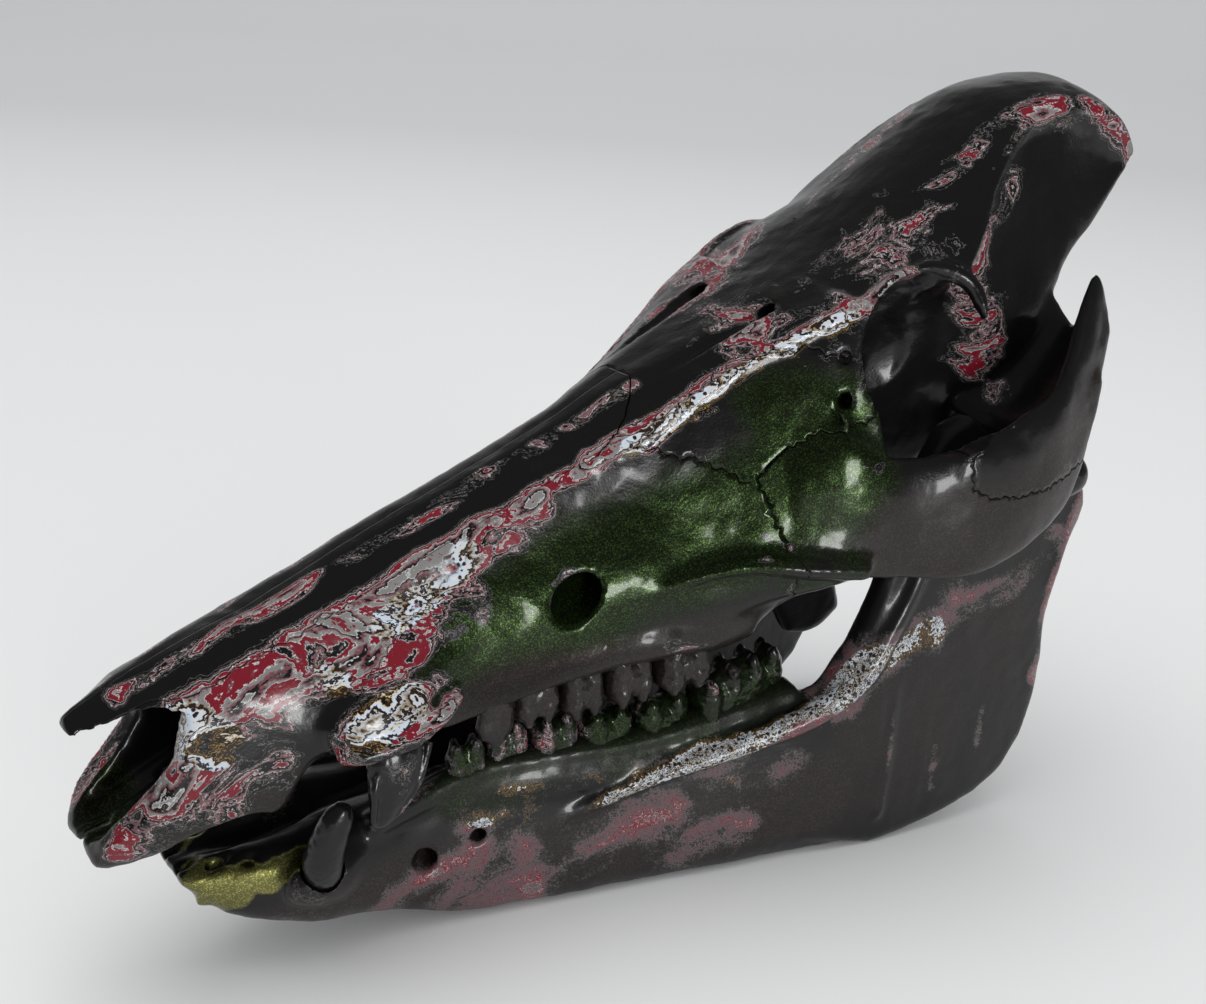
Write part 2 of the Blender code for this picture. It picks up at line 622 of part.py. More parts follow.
# Cheek teeth as (front x, length, row y, width, crown z), and where each row meets its bone.
UPPER_CHEEK_TEETH = [(99, 11, -22.3, 5, 62.8), (110.5, 13, -22.5, 7, 65.3), (124, 12.5, -24, 9, 64),
                     (137, 14, -26, 11, 64.6), (151.5, 17, -28.8, 12.4, 65.4)]
LOWER_CHEEK_TEETH = [(92.5, 11.5, -16.4, 5.6, 62.8), (105, 12, -16.4, 6.2, 63.6),
                     (118, 13.5, -18.8, 8.2, 63), (132, 16, -20.8, 10.2, 61.4),
                     (148.5, 17.5, -23, 11.5, 61), (166.5, 31, -27, 13, 66.8)]


def tooth_lobe(x, y, length, width, root_z, crown_z):
    """One lobe of a cheek tooth: a waisted column that ends in two blunt cusps."""
    up = 1 if crown_z > root_z else -1
    height = abs(crown_z - root_z)
    levels = [(0.0, 0.85), (0.6, 1.0), (0.92, 0.72)]
    rings = []
    for t, s in levels:
        middle = (x, y, root_z + up * height * t)
        rings.append(ellipse_ring(middle, (length / 2 * s, 0, 0), (0, width / 2 * s, 0), 8, 2.4))
    cusp = 0.12 * height * up
    rings.append([Vector((x + (p.x - x) * 0.45, y + (p.y - y) * 0.8, root_z + up * height
                          - cusp * (1 - min(1.0, abs(p.y - y) / (width * 0.28))))) for p in rings[-1]])
    return loft("tooth_lobe", rings)


def cheek_teeth(rows, root_of):
    """The lobes of one left row: two to a tooth, or three on the long last one, which rises behind."""
    lobes = []
    for front, length, y, width, crown in rows:
        count = 3 if length > 25 else 2 if length > 12.5 else 1
        pitch = (length - 0.6) / count
        for i in range(count):
            x = front + pitch * (i + 0.5)
            overlap = 1.12 if count > 1 else 1.0
            rise = 5.5 * min(1.0, (x - front) / 14) - 5 if count == 3 else 0
            lobes.append(tooth_lobe(x, y - 0.02 * (x - front), pitch * overlap, width, root_of(x),
                                    crown + rise))
    return lobes


def upper_canine(grow=0.0):
    """The left upper canine, a flattened cone that points down and a little forward."""
    stops = [((75.5, -21.5, 86 + grow), 4.6, 3.4, (0, 1, 0)), ((73, -25.4, 80.5), 6.2, 4.2, (0, 1, 0)),
             ((70.2, -29.4, 74.5), 7.2, 4.6, (0, 1, 0)), ((67.6, -31, 66), 5.2, 3.8, (0, 1, 0)),
             ((65, -31, 59), 2.4, 2.0, (0, 1, 0)), ((64.4, -30.8, 57), 1.1, 1.0, (0, 1, 0))]
    return sweep("upper_canine", [(c, h + grow, w + grow, s) for c, h, w, s in stops], points=10,
                 per_span=2)


def lower_canine(grow=0.0):
    """The left lower canine, a short blunt peg that curves up and back."""
    stops = [((57.5, -14.5, 34 - grow), 3.6, 3.4, (0, 1, 0)), ((54.5, -19.2, 39), 4.6, 4, (0, 1, 0)),
             ((53, -23.6, 47.5), 5.2, 4.4, (0, 1, 0)), ((54.6, -25.4, 55), 4.6, 4, (0, 1, 0)),
             ((57, -26.4, 60.5), 3.8, 3.4, (0, 1, 0)), ((58.4, -27, 63.6), 2, 1.9, (0, 1, 0))]
    return sweep("lower_canine", [(c, h + grow, w + grow, s) for c, h, w, s in stops], points=10,
                 per_span=2)


def offset_outline(outline, distance):
    """An outline of (x, z) points moved outwards by a distance."""
    area = sum(a[0] * b[1] - b[0] * a[1] for a, b in zip(outline, outline[1:] + outline[:1]))
    turn = distance if area > 0 else -distance
    moved = []
    for before, point, after in zip(outline[-1:] + outline[:-1], outline, outline[1:] + outline[:1]):
        a = Vector((point[0] - before[0], point[1] - before[1])).normalized()
        b = Vector((after[0] - point[0], after[1] - point[1])).normalized()
        normals = Vector((a.y, -a.x)) + Vector((b.y, -b.x))
        normals *= 1 / max(0.5 * normals.length_squared, 0.4)
        moved.append((point[0] + turn * normals.x, point[1] + turn * normals.y))
    return moved


NASAL_END_X = 160.0
NASAL_DEPTH = 8.0


def nasal_region(grow):
    """Room taken by the left nasal bone: inside the muzzle's top edge, back to a rounded rear end."""
    rings = []
    end = NASAL_END_X + grow
    for x in [-12, 2, *stations(10, end - 8, 8), end - 5, end - 2.5, end - 0.8, end]:
        taper = math.sqrt(max(0.0, 1 - max(0.0, (x - end + 30) / 31) ** 2))
        side = (through(TOP_EDGE_WIDTH, x) + 0.6) * taper + grow
        top = through(TOP_LINE, x)
        near = SUTURE_GAP / 2
        rings.append([(x, -near, top - NASAL_DEPTH - grow), (x, -side - near, top - NASAL_DEPTH - grow),
                      (x, -side - near, top + 14), (x, -near, top + 14)])
    return loft("nasal_region", rings)


def premaxilla_region(grow):
    """Room taken by the left front bone of the upper jaw, whose seam rises from before the canine."""
    seam = [(57.5, 40), (57.5, 77), (59.5, 85), (66, 91), (73, 96), (83, 102.5), (97, 111), (107, 118),
            (111, 124), (108, 150)]
    outline = offset_outline([(-20, 40), *seam, (-20, 150)], grow)
    return plate("premaxilla_region", outline, lambda x, z: -30 - SUTURE_GAP / 2, 60, 0)


def jugal_region(grow):
    """Room taken by the left cheek bone, from the seam under the eye to the rear of the arch."""
    outline = [(186, 84), (185, 100), (182, 113), (179.5, 124), (184, 130), (196, 135), (209, 136.5),
               (216, 142), (233.5, 142), (234.5, 116.5), (241, 113.5), (250, 112.3), (259, 112.4),
               (270, 114), (282, 117), (298, 117), (298, 84)]

    def inner(x, z):
        lie = [(176, -36), (190, -39), (204, -43), (214, -47), (232, -54), (262, -59), (298, -61)]
        return through(lie, x) - 20

    return plate("jugal_region", offset_outline(outline, grow), inner, 40 + 2 * grow, 0)


def part_off(whole, region, name):
    """Parts a named bone off the whole along a region's border, leaving a thin gap."""
    bone = whole.copy()
    bone.data = whole.data.copy()
    bone.name = name
    bpy.context.scene.collection.objects.link(bone)
    combine(bone, [region(-SUTURE_GAP / 2)], "INTERSECT")
    combine(whole, [region(SUTURE_GAP / 2)], "DIFFERENCE")
    return bone


def flipped(region):
    """The same region on the right side."""

    def mirrored(grow):
        left = region(grow)
        right = copy_mirrored(left)
        discard([left])
        return right

    return mirrored


def make_cranium():
    face = [mirrored_ring(x, face_half(x)) for x in stations(2, FACE_END_X, FACE_STEP)]
    vault = [mirrored_ring(x, vault_half(x)) for x in stations(VAULT_START_X, VAULT_END_X, FACE_STEP)]
    pieces = [loft("face", face), loft("vault", vault)]
    for piece in [cheek_arch(), arch_root(), brow_rim(), *canine_ridge(), upper_tooth_ridge(), pterygoids(),
                  *skull_base()]:
        pieces += both_sides(piece)
    skull = fused("cranium", pieces, VOXEL, 6)
    cutters = [nasal_cavity(), nostril_notch(), *midline_holes()]
    for piece in [eye_socket(), *face_holes()]:
        cutters += both_sides(piece)
    cutters += both_sides(ball("joint_hollow", (286, -48.5, 107), (10.4, 13.9, 9.9), (0, -10, 8)))
    combine(skull, cutters, "DIFFERENCE")
    skull = fused("cranium", [skull], VOXEL, 3)
    thinned(skull, CRANIUM_TRIANGLES)
    lobes = []
    for lobe in cheek_teeth(UPPER_CHEEK_TEETH, lambda x: 78.5):
        lobes += both_sides(lobe)
    combine(skull, lobes, "UNION")
    combine(skull, both_sides(upper_canine(SUTURE_GAP)), "DIFFERENCE")
    bones = []
    regions = {"nasal": nasal_region, "premaxilla": premaxilla_region, "jugal": jugal_region}
    for name, region in regions.items():
        bones.append(part_off(skull, region, name + "_left"))
        bones.append(part_off(skull, flipped(region), name + "_right"))
    return [skull, *bones]


def make_mandible():
    pieces = []
    for piece in [lower_jaw_bar(), lower_tooth_ridge(), lower_jaw_plate(), lower_jaw_joint(),
                  lower_canine_socket()]:
        pieces += both_sides(piece)
    jaw = fused("mandible", pieces, VOXEL, 8)
    thinned(jaw, MANDIBLE_TRIANGLES)
    lobes = []
    for lobe in cheek_teeth(LOWER_CHEEK_TEETH, lambda x: 42):
        lobes += both_sides(lobe)
    combine(jaw, lobes, "UNION")
    combine(jaw, both_sides(lower_canine(SUTURE_GAP)), "DIFFERENCE")
    return [jaw]


def make_canines():
    made = []
    for name, make in (("canine_upper", upper_canine), ("canine_lower", lower_canine)):
        left, right = both_sides(make())
        left.name, right.name = name + "_left", name + "_right"
        made += [left, right]
    return made


def floor_block():
    """Everything under the table top, which takes a shaving off the jaw so that it stands on flats."""
    bm = bmesh.new()
    bmesh.ops.create_cube(bm, size=600, matrix=Matrix.Translation((0, 0, -300)))
    return new_object("floor_block", bm)


def coated(obj, color, metallic, roughness):
    """Gives a node its own material and smooth shading with crisp breaks."""
    obj.data.materials.clear()
    material = bpy.data.materials.new(obj.name)
    material.use_nodes = True
    shader = material.node_tree.nodes["Principled BSDF"]
    shader.inputs["Base Color"].default_value = (*color, 1.0)
    shader.inputs["Metallic"].default_value = metallic
    shader.inputs["Roughness"].default_value = roughness
    obj.data.materials.append(material)
    obj.data.shade_smooth()
    obj.data.set_sharp_from_angle(angle=math.radians(42))


def main():
    for obj in list(bpy.data.objects):
        bpy.data.objects.remove(obj)
    bones = make_cranium() + make_mandible() + make_canines()
    stand = Matrix.Translation((-FRAME_CENTRE_X, 0, -REST_DROP)) @ Matrix.Rotation(-REST_PITCH, 4, "Y")
    for bone in bones:
        bone.data.transform(stand)
        if bone.name == "mandible":
            combine(bone, [floor_block()], "DIFFERENCE")
        bone.data.transform(Matrix.Scale(MM, 4))
        coated(bone, (0.055, 0.05, 0.045), 0.4, 0.28)


main()
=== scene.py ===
import json
import math

import bmesh
import bpy
import numpy as np
from mathutils import Matrix, Vector
from mathutils.bvhtree import BVHTree

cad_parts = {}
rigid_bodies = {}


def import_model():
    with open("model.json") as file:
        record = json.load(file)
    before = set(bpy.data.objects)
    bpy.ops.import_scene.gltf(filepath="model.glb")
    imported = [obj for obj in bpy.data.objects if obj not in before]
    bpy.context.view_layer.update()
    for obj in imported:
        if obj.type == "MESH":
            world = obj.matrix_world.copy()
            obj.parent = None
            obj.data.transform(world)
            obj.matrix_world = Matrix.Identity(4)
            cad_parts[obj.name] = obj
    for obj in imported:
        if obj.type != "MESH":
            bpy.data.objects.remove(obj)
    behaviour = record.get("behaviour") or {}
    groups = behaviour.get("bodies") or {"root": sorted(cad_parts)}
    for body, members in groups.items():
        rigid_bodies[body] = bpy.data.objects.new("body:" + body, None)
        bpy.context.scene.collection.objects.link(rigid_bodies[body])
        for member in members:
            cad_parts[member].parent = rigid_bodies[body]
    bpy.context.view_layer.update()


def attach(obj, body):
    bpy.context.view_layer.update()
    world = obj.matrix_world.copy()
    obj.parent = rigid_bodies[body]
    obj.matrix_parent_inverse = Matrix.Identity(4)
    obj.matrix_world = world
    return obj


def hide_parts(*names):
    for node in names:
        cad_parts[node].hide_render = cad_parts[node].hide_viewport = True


for obj in list(bpy.data.objects):
    bpy.data.objects.remove(obj)
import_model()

# The upper skull: one cleaned and dried bone from the nose to the crest, with the cheek arches. It
# is drawn up in millimetres (x back from the front of the upper jaw, y to the animal's right, z up),
# fused into one skin, hollowed, and coated with many layers of lacquer that are rubbed back.

STAND = (Matrix.Scale(0.001, 4) @ Matrix.Translation((-156.36, 0, -16.7))
         @ Matrix.Rotation(-math.radians(4.75), 4, "Y"))
SUTURE_GAP = 0.3
LIMB_STEPS = 6
UPRIGHT = (0, 0, 1)
FIRST_VOXEL = 1.1
SKULL_VOXEL = 1.0
SKULL_TRIANGLES = 195000


def through(knots, x, column=1):
    """A column's value at x on a smooth curve through the knots, with no overshoot between them."""
    xs = [k[0] for k in knots]
    ys = [k[column] for k in knots]
    if x <= xs[0]:
        return ys[0]
    if x >= xs[-1]:
        return ys[-1]
    slopes = [(ys[i + 1] - ys[i]) / (xs[i + 1] - xs[i]) for i in range(len(xs) - 1)]
    i = max(j for j in range(len(slopes)) if xs[j] <= x)

    def tangent(j):
        if j in (0, len(slopes)):
            return slopes[min(j, len(slopes) - 1)]
        if slopes[j - 1] * slopes[j] <= 0:
            return 0.0
        return 2 * slopes[j - 1] * slopes[j] / (slopes[j - 1] + slopes[j])

    span = xs[i + 1] - xs[i]
    t = (x - xs[i]) / span
    return ((2 * t**3 - 3 * t**2 + 1) * ys[i] + (t**3 - 2 * t**2 + t) * span * tangent(i)
            + (3 * t**2 - 2 * t**3) * ys[i + 1] + (t**3 - t**2) * span * tangent(i + 1))


def stations(start, end, step):
    count = max(2, round((end - start) / step))
    return [start + (end - start) * i / count for i in range(count + 1)]


def new_object(name, bm):
    """A mesh object from a bmesh, with its faces pointing outwards."""
    bmesh.ops.recalc_face_normals(bm, faces=bm.faces)
    mesh = bpy.data.meshes.new(name)
    bm.to_mesh(mesh)
    bm.free()
    obj = bpy.data.objects.new(name, mesh)
    bpy.context.scene.collection.objects.link(obj)
    return obj


def drawn_up(name, rings):
    """A closed form extruded ring by ring, each new edge loop set on the next section."""
    bm = bmesh.new()
    loop = [bm.verts.new(p) for p in rings[0]]
    bm.faces.new(loop)
    for ring in rings[1:]:
        count = len(loop)
        edges = [bm.edges.get((loop[i], loop[(i + 1) % count])) for i in range(count)]
        made = bmesh.ops.extrude_edge_only(bm, edges=edges)["geom"]
        place = {v: i for i, v in enumerate(loop)}
        grown = [None] * count
        for v in made:
            if isinstance(v, bmesh.types.BMVert):
                for e in v.link_edges:
                    if e.other_vert(v) in place:
                        grown[place[e.other_vert(v)]] = v
        for v, p in zip(grown, ring):
            v.co = p
        loop = grown
    bm.faces.new(loop)
    return new_object(name, bm)


def mirrored_ring(x, half):
    """A ring across the skull at x, from its right half given bottom to top as (y, z) points."""
    return [(x, y, z) for y, z in half] + [(x, -y, z) for y, z in reversed(half) if y > 0]


def rounded_half(points):
    """The half section through (y, z) points, with each span rounded off by a smooth curve."""
    ends = [(-points[1][0], points[1][1]), *points, (-points[-2][0], points[-2][1])]
    smooth = []
    for a, b, c, d in zip(ends, ends[1:], ends[2:], ends[3:]):
        for t in (0, 0.25, 0.5, 0.75):
            smooth.append([0.5 * (2 * b[k] + (c[k] - a[k]) * t
                                  + (2 * a[k] - 5 * b[k] + 4 * c[k] - d[k]) * t**2
                                  + (3 * b[k] - a[k] - 3 * c[k] + d[k]) * t**3) for k in (0, 1)])
    return [points[0], *[(max(y, 0.0), z) for y, z in smooth[1:]], points[-1]]


def ellipse_ring(centre, across, along, points=20, power=2.0):
    """A ring of points round centre, spanned by two half-axis vectors. A higher power is squarer."""
    ring = []
    for i in range(points):
        a = 2 * math.pi * i / points
        c, s = math.cos(a), math.sin(a)
        ring.append(Vector(centre) + Vector(across) * math.copysign(abs(c) ** (2 / power), c)
                    + Vector(along) * math.copysign(abs(s) ** (2 / power), s))
    return ring


def limb(name, stops, side=(0, 1, 0), points=20, power=2.0):
    """A tapering limb along stops of (x, y, z, half height, half width), wide in the side direction."""
    rows = [(i, *stop) for i, stop in enumerate(stops)]
    last = len(stops) - 1
    rings = []
    for t in [s / LIMB_STEPS for s in range(last * LIMB_STEPS + 1)]:
        centre, ahead, behind = [Vector([through(rows, u, k) for k in (1, 2, 3)])
                                 for u in (t, min(t + 0.05, last), max(t - 0.05, 0))]
        forward = (ahead - behind).normalized()
        across = (Vector(side) - forward * forward.dot(side)).normalized()
        rings.append(ellipse_ring(centre, across * through(rows, t, 5),
                                  forward.cross(across) * through(rows, t, 4), points, power))
    return drawn_up(name, rings)


def knob(name, centre, radii, turn=(0, 0, 0), segments=32):
    """An ellipsoid with the given half-axes, turned by degrees about x, y and z."""
    bm = bmesh.new()
    bmesh.ops.create_uvsphere(bm, u_segments=segments, v_segments=segments // 2, radius=1.0)
    spin = Matrix.Rotation(math.radians(turn[2]), 4, "Z")
    spin @= Matrix.Rotation(math.radians(turn[1]), 4, "Y")
    spin @= Matrix.Rotation(math.radians(turn[0]), 4, "X")
    place = Matrix.Translation(centre) @ spin @ Matrix.Diagonal((*radii, 1.0))
    bmesh.ops.transform(bm, matrix=place, verts=bm.verts)
    return new_object(name, bm)


def slab(name, outline, y_of, thickness, bevel=2.0):
    """A plate with an outline of (x, z) points, lying at y_of(x, z) and bevelled all round."""
    bm = bmesh.new()
    face = bm.faces.new([bm.verts.new((x, 0, z)) for x, z in outline])
    made = bmesh.ops.extrude_face_region(bm, geom=[face])
    far = [v for v in made["geom"] if isinstance(v, bmesh.types.BMVert)]
    bmesh.ops.translate(bm, verts=far, vec=(0, thickness, 0))
    bmesh.ops.recalc_face_normals(bm, faces=bm.faces)
    rims = [e for f in bm.faces if abs(f.normal.y) > 0.9 for e in f.edges]
    if bevel > 0:
        bmesh.ops.bevel(bm, geom=rims, offset=bevel, segments=3, profile=0.5, affect="EDGES", material=-1)
        bmesh.ops.triangulate(bm, faces=bm.faces)
        bmesh.ops.subdivide_edges(bm, edges=bm.edges, cuts=3, use_grid_fill=True)
    bmesh.ops.triangulate(bm, faces=bm.faces)
    for v in bm.verts:
        v.co.y += y_of(v.co.x, v.co.z) - thickness / 2
    return new_object(name, bm)


def copy_mirrored(obj):
    """The same shape on the animal's right side."""
    bm = bmesh.new()
    bm.from_mesh(obj.data)
    bmesh.ops.scale(bm, vec=(1, -1, 1), verts=bm.verts)
    return new_object(obj.name + "_mirror", bm)


def both_of(objs):
    return [side for obj in objs for side in (obj, copy_mirrored(obj))]


def discard(objects):
    for obj in objects:
        bpy.data.objects.remove(obj)


def evaluated(obj):
    """Bakes an object's modifiers into its mesh."""
    graph = bpy.context.evaluated_depsgraph_get()
    mesh = bpy.data.meshes.new_from_object(obj.evaluated_get(graph))
    obj.modifiers.clear()
    obj.data = mesh
    return obj


def fused(name, pieces, voxel, rounds):
    """One skin over all the pieces: joined, remeshed in small voxels and smoothed."""
    bm = bmesh.new()
    for piece in pieces:
        bm.from_mesh(piece.data)
    discard(pieces)
    obj = new_object(name, bm)
    remesh = obj.modifiers.new("skin", "REMESH")
    remesh.mode = "VOXEL"
    remesh.voxel_size = voxel
    smooth = obj.modifiers.new("soften", "SMOOTH")
    smooth.factor = 0.5
    smooth.iterations = rounds
    return evaluated(obj)


def combine(obj, others, operation):
    """Unites, cuts or intersects obj with the others, which are used up."""
    group = bpy.data.collections.new("tools")
    bpy.context.scene.collection.children.link(group)
    for other in others:
        group.objects.link(other)
    boolean = obj.modifiers.new(operation.lower(), "BOOLEAN")
    boolean.operation = operation
    boolean.solver = "MANIFOLD"
    boolean.operand_type = "COLLECTION"
    boolean.collection = group
    evaluated(obj)
    discard(others)
    bpy.data.collections.remove(group)
    return largest(obj)


def measures(items, key, width, kind=np.float32):
    """One measure of all a mesh's points or edges, a row for each."""
    flat = np.empty(len(items) * width, dtype=kind)
    items.foreach_get(key, flat)
    return flat.reshape(-1, width)


def largest(obj):
    """Keeps the surface with the most points, and drops loose scraps."""
    mesh = obj.data
    ends = measures(mesh.edges, "vertices", 2, np.int32)
    label = np.arange(len(mesh.vertices))
    while True:
        fresh = label.copy()
        low = label[ends].min(axis=1)
        np.minimum.at(fresh, ends[:, 0], low)
        np.minimum.at(fresh, ends[:, 1], low)
        fresh = fresh[fresh]
        if (fresh == label).all():
            break
        label = fresh
    names, sizes = np.unique(label, return_counts=True)
    if len(names) > 1:
        bm = bmesh.new()
        bm.from_mesh(mesh)
        bm.verts.ensure_lookup_table()
        loose = [bm.verts[i] for i in np.nonzero(label != names[sizes.argmax()])[0]]
        bmesh.ops.delete(bm, geom=loose, context="VERTS")
        bm.to_mesh(mesh)
        bm.free()
    return obj


def thinned(obj, triangles):
    """Fewer, larger triangles where the surface is plain."""
    count = sum(len(p.vertices) - 2 for p in obj.data.polygons)
    decimate = obj.modifiers.new("thin", "DECIMATE")
    decimate.ratio = min(1.0, triangles / count)
    decimate.use_collapse_triangulate = True
    return evaluated(obj)


TOP_LINE = [(2, 94.2), (5, 95.6), (10, 97.7), (20, 101.5), (30, 104.3), (45, 108.4), (60, 113.7),
    (80, 120.6), (100, 127.3), (120, 134), (140, 140.7), (155, 147), (170, 152.8), (190, 160.5),
    (214, 170), (230, 177.5), (250, 189), (270, 201), (284, 209.5), (298, 215.8), (320, 218.5),
    (335, 212.5)]
RIDGE_WIDTH = [(2, 1.5), (10, 2.6), (20, 4.2), (30, 6), (45, 7.2), (60, 6.6), (100, 6), (140, 6.4),
    (155, 8), (170, 11), (190, 17), (214, 24)]
TOP_EDGE = [(2, 3.5, 91.6), (8, 5.5, 93), (12, 7.2, 95), (16, 8.8, 96.9), (21, 9.8, 98.4),
    (25, 11.2, 97.6), (31, 12.8, 98.6), (45, 12.8, 102.8), (60, 12.8, 107.4), (80, 13.2, 113.6),
    (100, 14.2, 119.2), (120, 15.4, 125.2), (140, 17.2, 131), (155, 19, 137), (165, 20.6, 142),
    (175, 22.8, 147.5), (185, 25.5, 153), (195, 29, 157.5), (205, 33, 162), (214, 37, 166)]
ALVEOLAR_WIDTH = [(2, 10.5), (5, 13.5), (10, 16), (17, 18), (31, 20.5), (44, 22.5), (52, 23), (61, 26),
    (70, 28.5), (80, 27.5), (90, 24.5), (101, 24.8), (120, 27), (146, 31.5), (172, 35.5), (190, 30),
    (214, 24)]
ALVEOLAR_LINE = [(2, 57.5), (10, 59.5), (17, 61), (25, 63.5), (31, 64.5), (38, 65), (44, 63.5),
    (47, 65.5), (50, 71), (54, 75.5), (61, 76), (70, 75.5), (80, 74.5), (92, 72), (101, 72.5), (120, 75),
    (146, 76), (172, 75), (188, 79), (214, 90)]
PALATE_LINE = [(2, 59.5), (17, 63), (31, 66.5), (44, 68), (60, 74.5), (80, 77), (100, 79), (130, 81),
    (172, 81), (190, 84), (214, 94)]
SIDE_WIDTHS = [(2, 12, 11), (5, 15, 14.4), (10, 17.8, 17.4), (17, 19.4, 19.4), (28, 20.4, 19.6),
    (45, 21.6, 20), (60, 25.5, 20.5), (75, 28.5, 21.5), (92, 25, 22), (110, 26.5, 24), (127, 29, 27),
    (145, 32.5, 32), (165, 36.5, 39), (180, 39, 45.5), (200, 44, 54.5), (214, 46, 57)]
CHEEK_LINE = [(3, 68), (28, 72), (45, 80), (60, 83.5), (75, 85), (92, 85), (127, 87), (145, 89),
    (165, 84), (180, 86), (214, 96)]
FACE_LINE = [(3, 78), (28, 84), (45, 90), (70, 96), (100, 99), (127, 101), (145, 102), (165, 97),
    (180, 98), (200, 100), (214, 102)]
HOLLOW_WIDTH = [(2, 7), (5, 10), (10, 13), (17, 17), (28, 18.6), (45, 17.5), (70, 17), (100, 17.6),
    (125, 19.6), (145, 22.5), (166, 29), (190, 38), (204, 43), (214, 47)]
HOLLOW_LINE = [(2, 86), (28, 92), (45, 96.5), (70, 102.5), (100, 110), (125, 115.5), (145, 120),
    (166, 126), (190, 136), (214, 142)]


def face_half(x):
    """The right half of the muzzle's section at x, from the palate to the nasal ridge."""
    rim = through(ALVEOLAR_WIDTH, x)
    roof, top = through(PALATE_LINE, x), through(TOP_LINE, x)
    return rounded_half([
        (0, roof), (rim * 0.62, roof - 0.5), (rim - 1.2, through(ALVEOLAR_LINE, x)),
        (through(SIDE_WIDTHS, x), through(CHEEK_LINE, x)),
        (through(SIDE_WIDTHS, x, 2), through(FACE_LINE, x)),
        (through(HOLLOW_WIDTH, x), through(HOLLOW_LINE, x)), (through(TOP_EDGE, x), through(TOP_EDGE, x, 2)),
        (through(RIDGE_WIDTH, x), top - 0.7), (0, top)])


VAULT = [(194, 28, 155), (203, 32.5, 159.5), (214, 36.5, 164.5), (225, 38, 170), (240, 39.5, 173),
    (250, 41, 174), (260, 38, 183), (270, 31.5, 193), (282, 26.5, 202), (295, 23, 208.5),
    (308, 24, 211.5), (320, 28, 209.5), (329, 31.5, 203), (335, 30.5, 196)]
SHOULDER_WIDTH = [(194, 20), (225, 24), (250, 24), (270, 18), (295, 14), (335, 17)]
EAVE = [(194, 25, 149), (203, 29, 153), (214, 33, 158.5), (225, 34.5, 164), (240, 36, 167),
    (250, 37.5, 168), (260, 35, 176), (270, 29, 186), (282, 24.5, 195), (295, 22, 201), (308, 23, 204),
    (320, 27, 202), (335, 29.5, 193)]
TEMPLE_WIDTH = [(194, 20), (210, 21), (225, 23), (240, 27), (250, 30), (262, 30), (275, 28), (290, 26),
    (305, 25), (320, 27), (335, 28)]
TEMPLE_LINE = [(194, 146), (225, 155), (250, 162), (270, 172), (290, 182), (305, 186), (320, 192),
    (335, 192)]
BRAINCASE_WIDTH = [(194, 18), (210, 18), (225, 19.5), (240, 23), (250, 26), (262, 30), (275, 33),
    (290, 34), (302, 31), (312, 29), (322, 30), (335, 29)]
BRAINCASE_LINE = [(194, 120), (225, 125), (250, 134), (275, 141), (290, 144), (300, 156), (310, 170),
    (322, 182), (335, 194)]
BASE_WIDTH = [(194, 14), (225, 14), (250, 16), (275, 20), (290, 22), (300, 23), (310, 25), (335, 27)]
BASE_LINE = [(194, 92), (225, 97), (250, 101), (275, 105), (288, 109), (296, 126), (302, 147), (310, 164),
    (320, 174), (328, 184), (335, 191)]
NAPE_HOLLOW = [(194, 0), (290, 0), (302, 3), (320, 7), (335, 5)]


def vault_half(x):
    """The right half of the brow and braincase at x, from the skull base to the crown."""
    edge, edge_z = through(VAULT, x), through(VAULT, x, 2)
    top, base = through(TOP_LINE, x), through(BASE_LINE, x)
    return rounded_half([
        (0, base + through(NAPE_HOLLOW, x)), (through(BASE_WIDTH, x), base),
        (through(BRAINCASE_WIDTH, x), through(BRAINCASE_LINE, x)),
        (through(TEMPLE_WIDTH, x), through(TEMPLE_LINE, x)), (through(EAVE, x), through(EAVE, x, 2)),
        (edge, edge_z), (through(SHOULDER_WIDTH, x), edge_z + 0.7 * (top - edge_z)), (0, top)])


ARCH_OUTER = [(188, 48), (202, 55), (210, 57.5), (218, 59.5), (228, 63), (236, 66), (246, 67.5),
    (256, 68), (266, 67.5), (275, 66.5), (282, 65), (288, 62.5), (294, 60)]
ARCH_LOW = [(188, 93), (202, 93), (218, 91.5), (228, 90), (236, 89.8), (246, 91), (256, 93.3), (266, 97),
    (275, 102.5), (281, 112), (286, 127), (290.5, 142), (294, 150)]
ARCH_HIGH = [(188, 130), (202, 136), (210, 130), (217, 126), (226, 126), (233, 131), (237, 133),
    (243, 130.5), (256, 135), (266, 139.5), (273, 147), (279, 158), (285, 166.5), (289.5, 169),
    (294, 163)]
ARCH_THICKNESS = [(188, 15), (202, 13), (212, 10.5), (228, 9.5), (246, 9), (266, 8), (280, 7), (294, 4.5)]
ARCH_LEAN = [(188, 5), (212, 4), (236, 3), (266, 0.5), (280, 4), (294, 5)]


def cheek_arch():
    """The left cheek arch: a tall thin oval all along, whose upper edge leans inwards."""
    rings = []
    for x in stations(188, 294, 2):
        low, high, thick, lean = [through(k, x) for k in (ARCH_LOW, ARCH_HIGH, ARCH_THICKNESS, ARCH_LEAN)]
        centre = (x, -through(ARCH_OUTER, x) + thick / 2 + lean * 0.4, (low + high) / 2)
        rings.append(ellipse_ring(centre, (0, thick / 2, 0), (0, lean / 2, (high - low) / 2), 24, 2.6))
    return drawn_up("cheek_arch", rings)


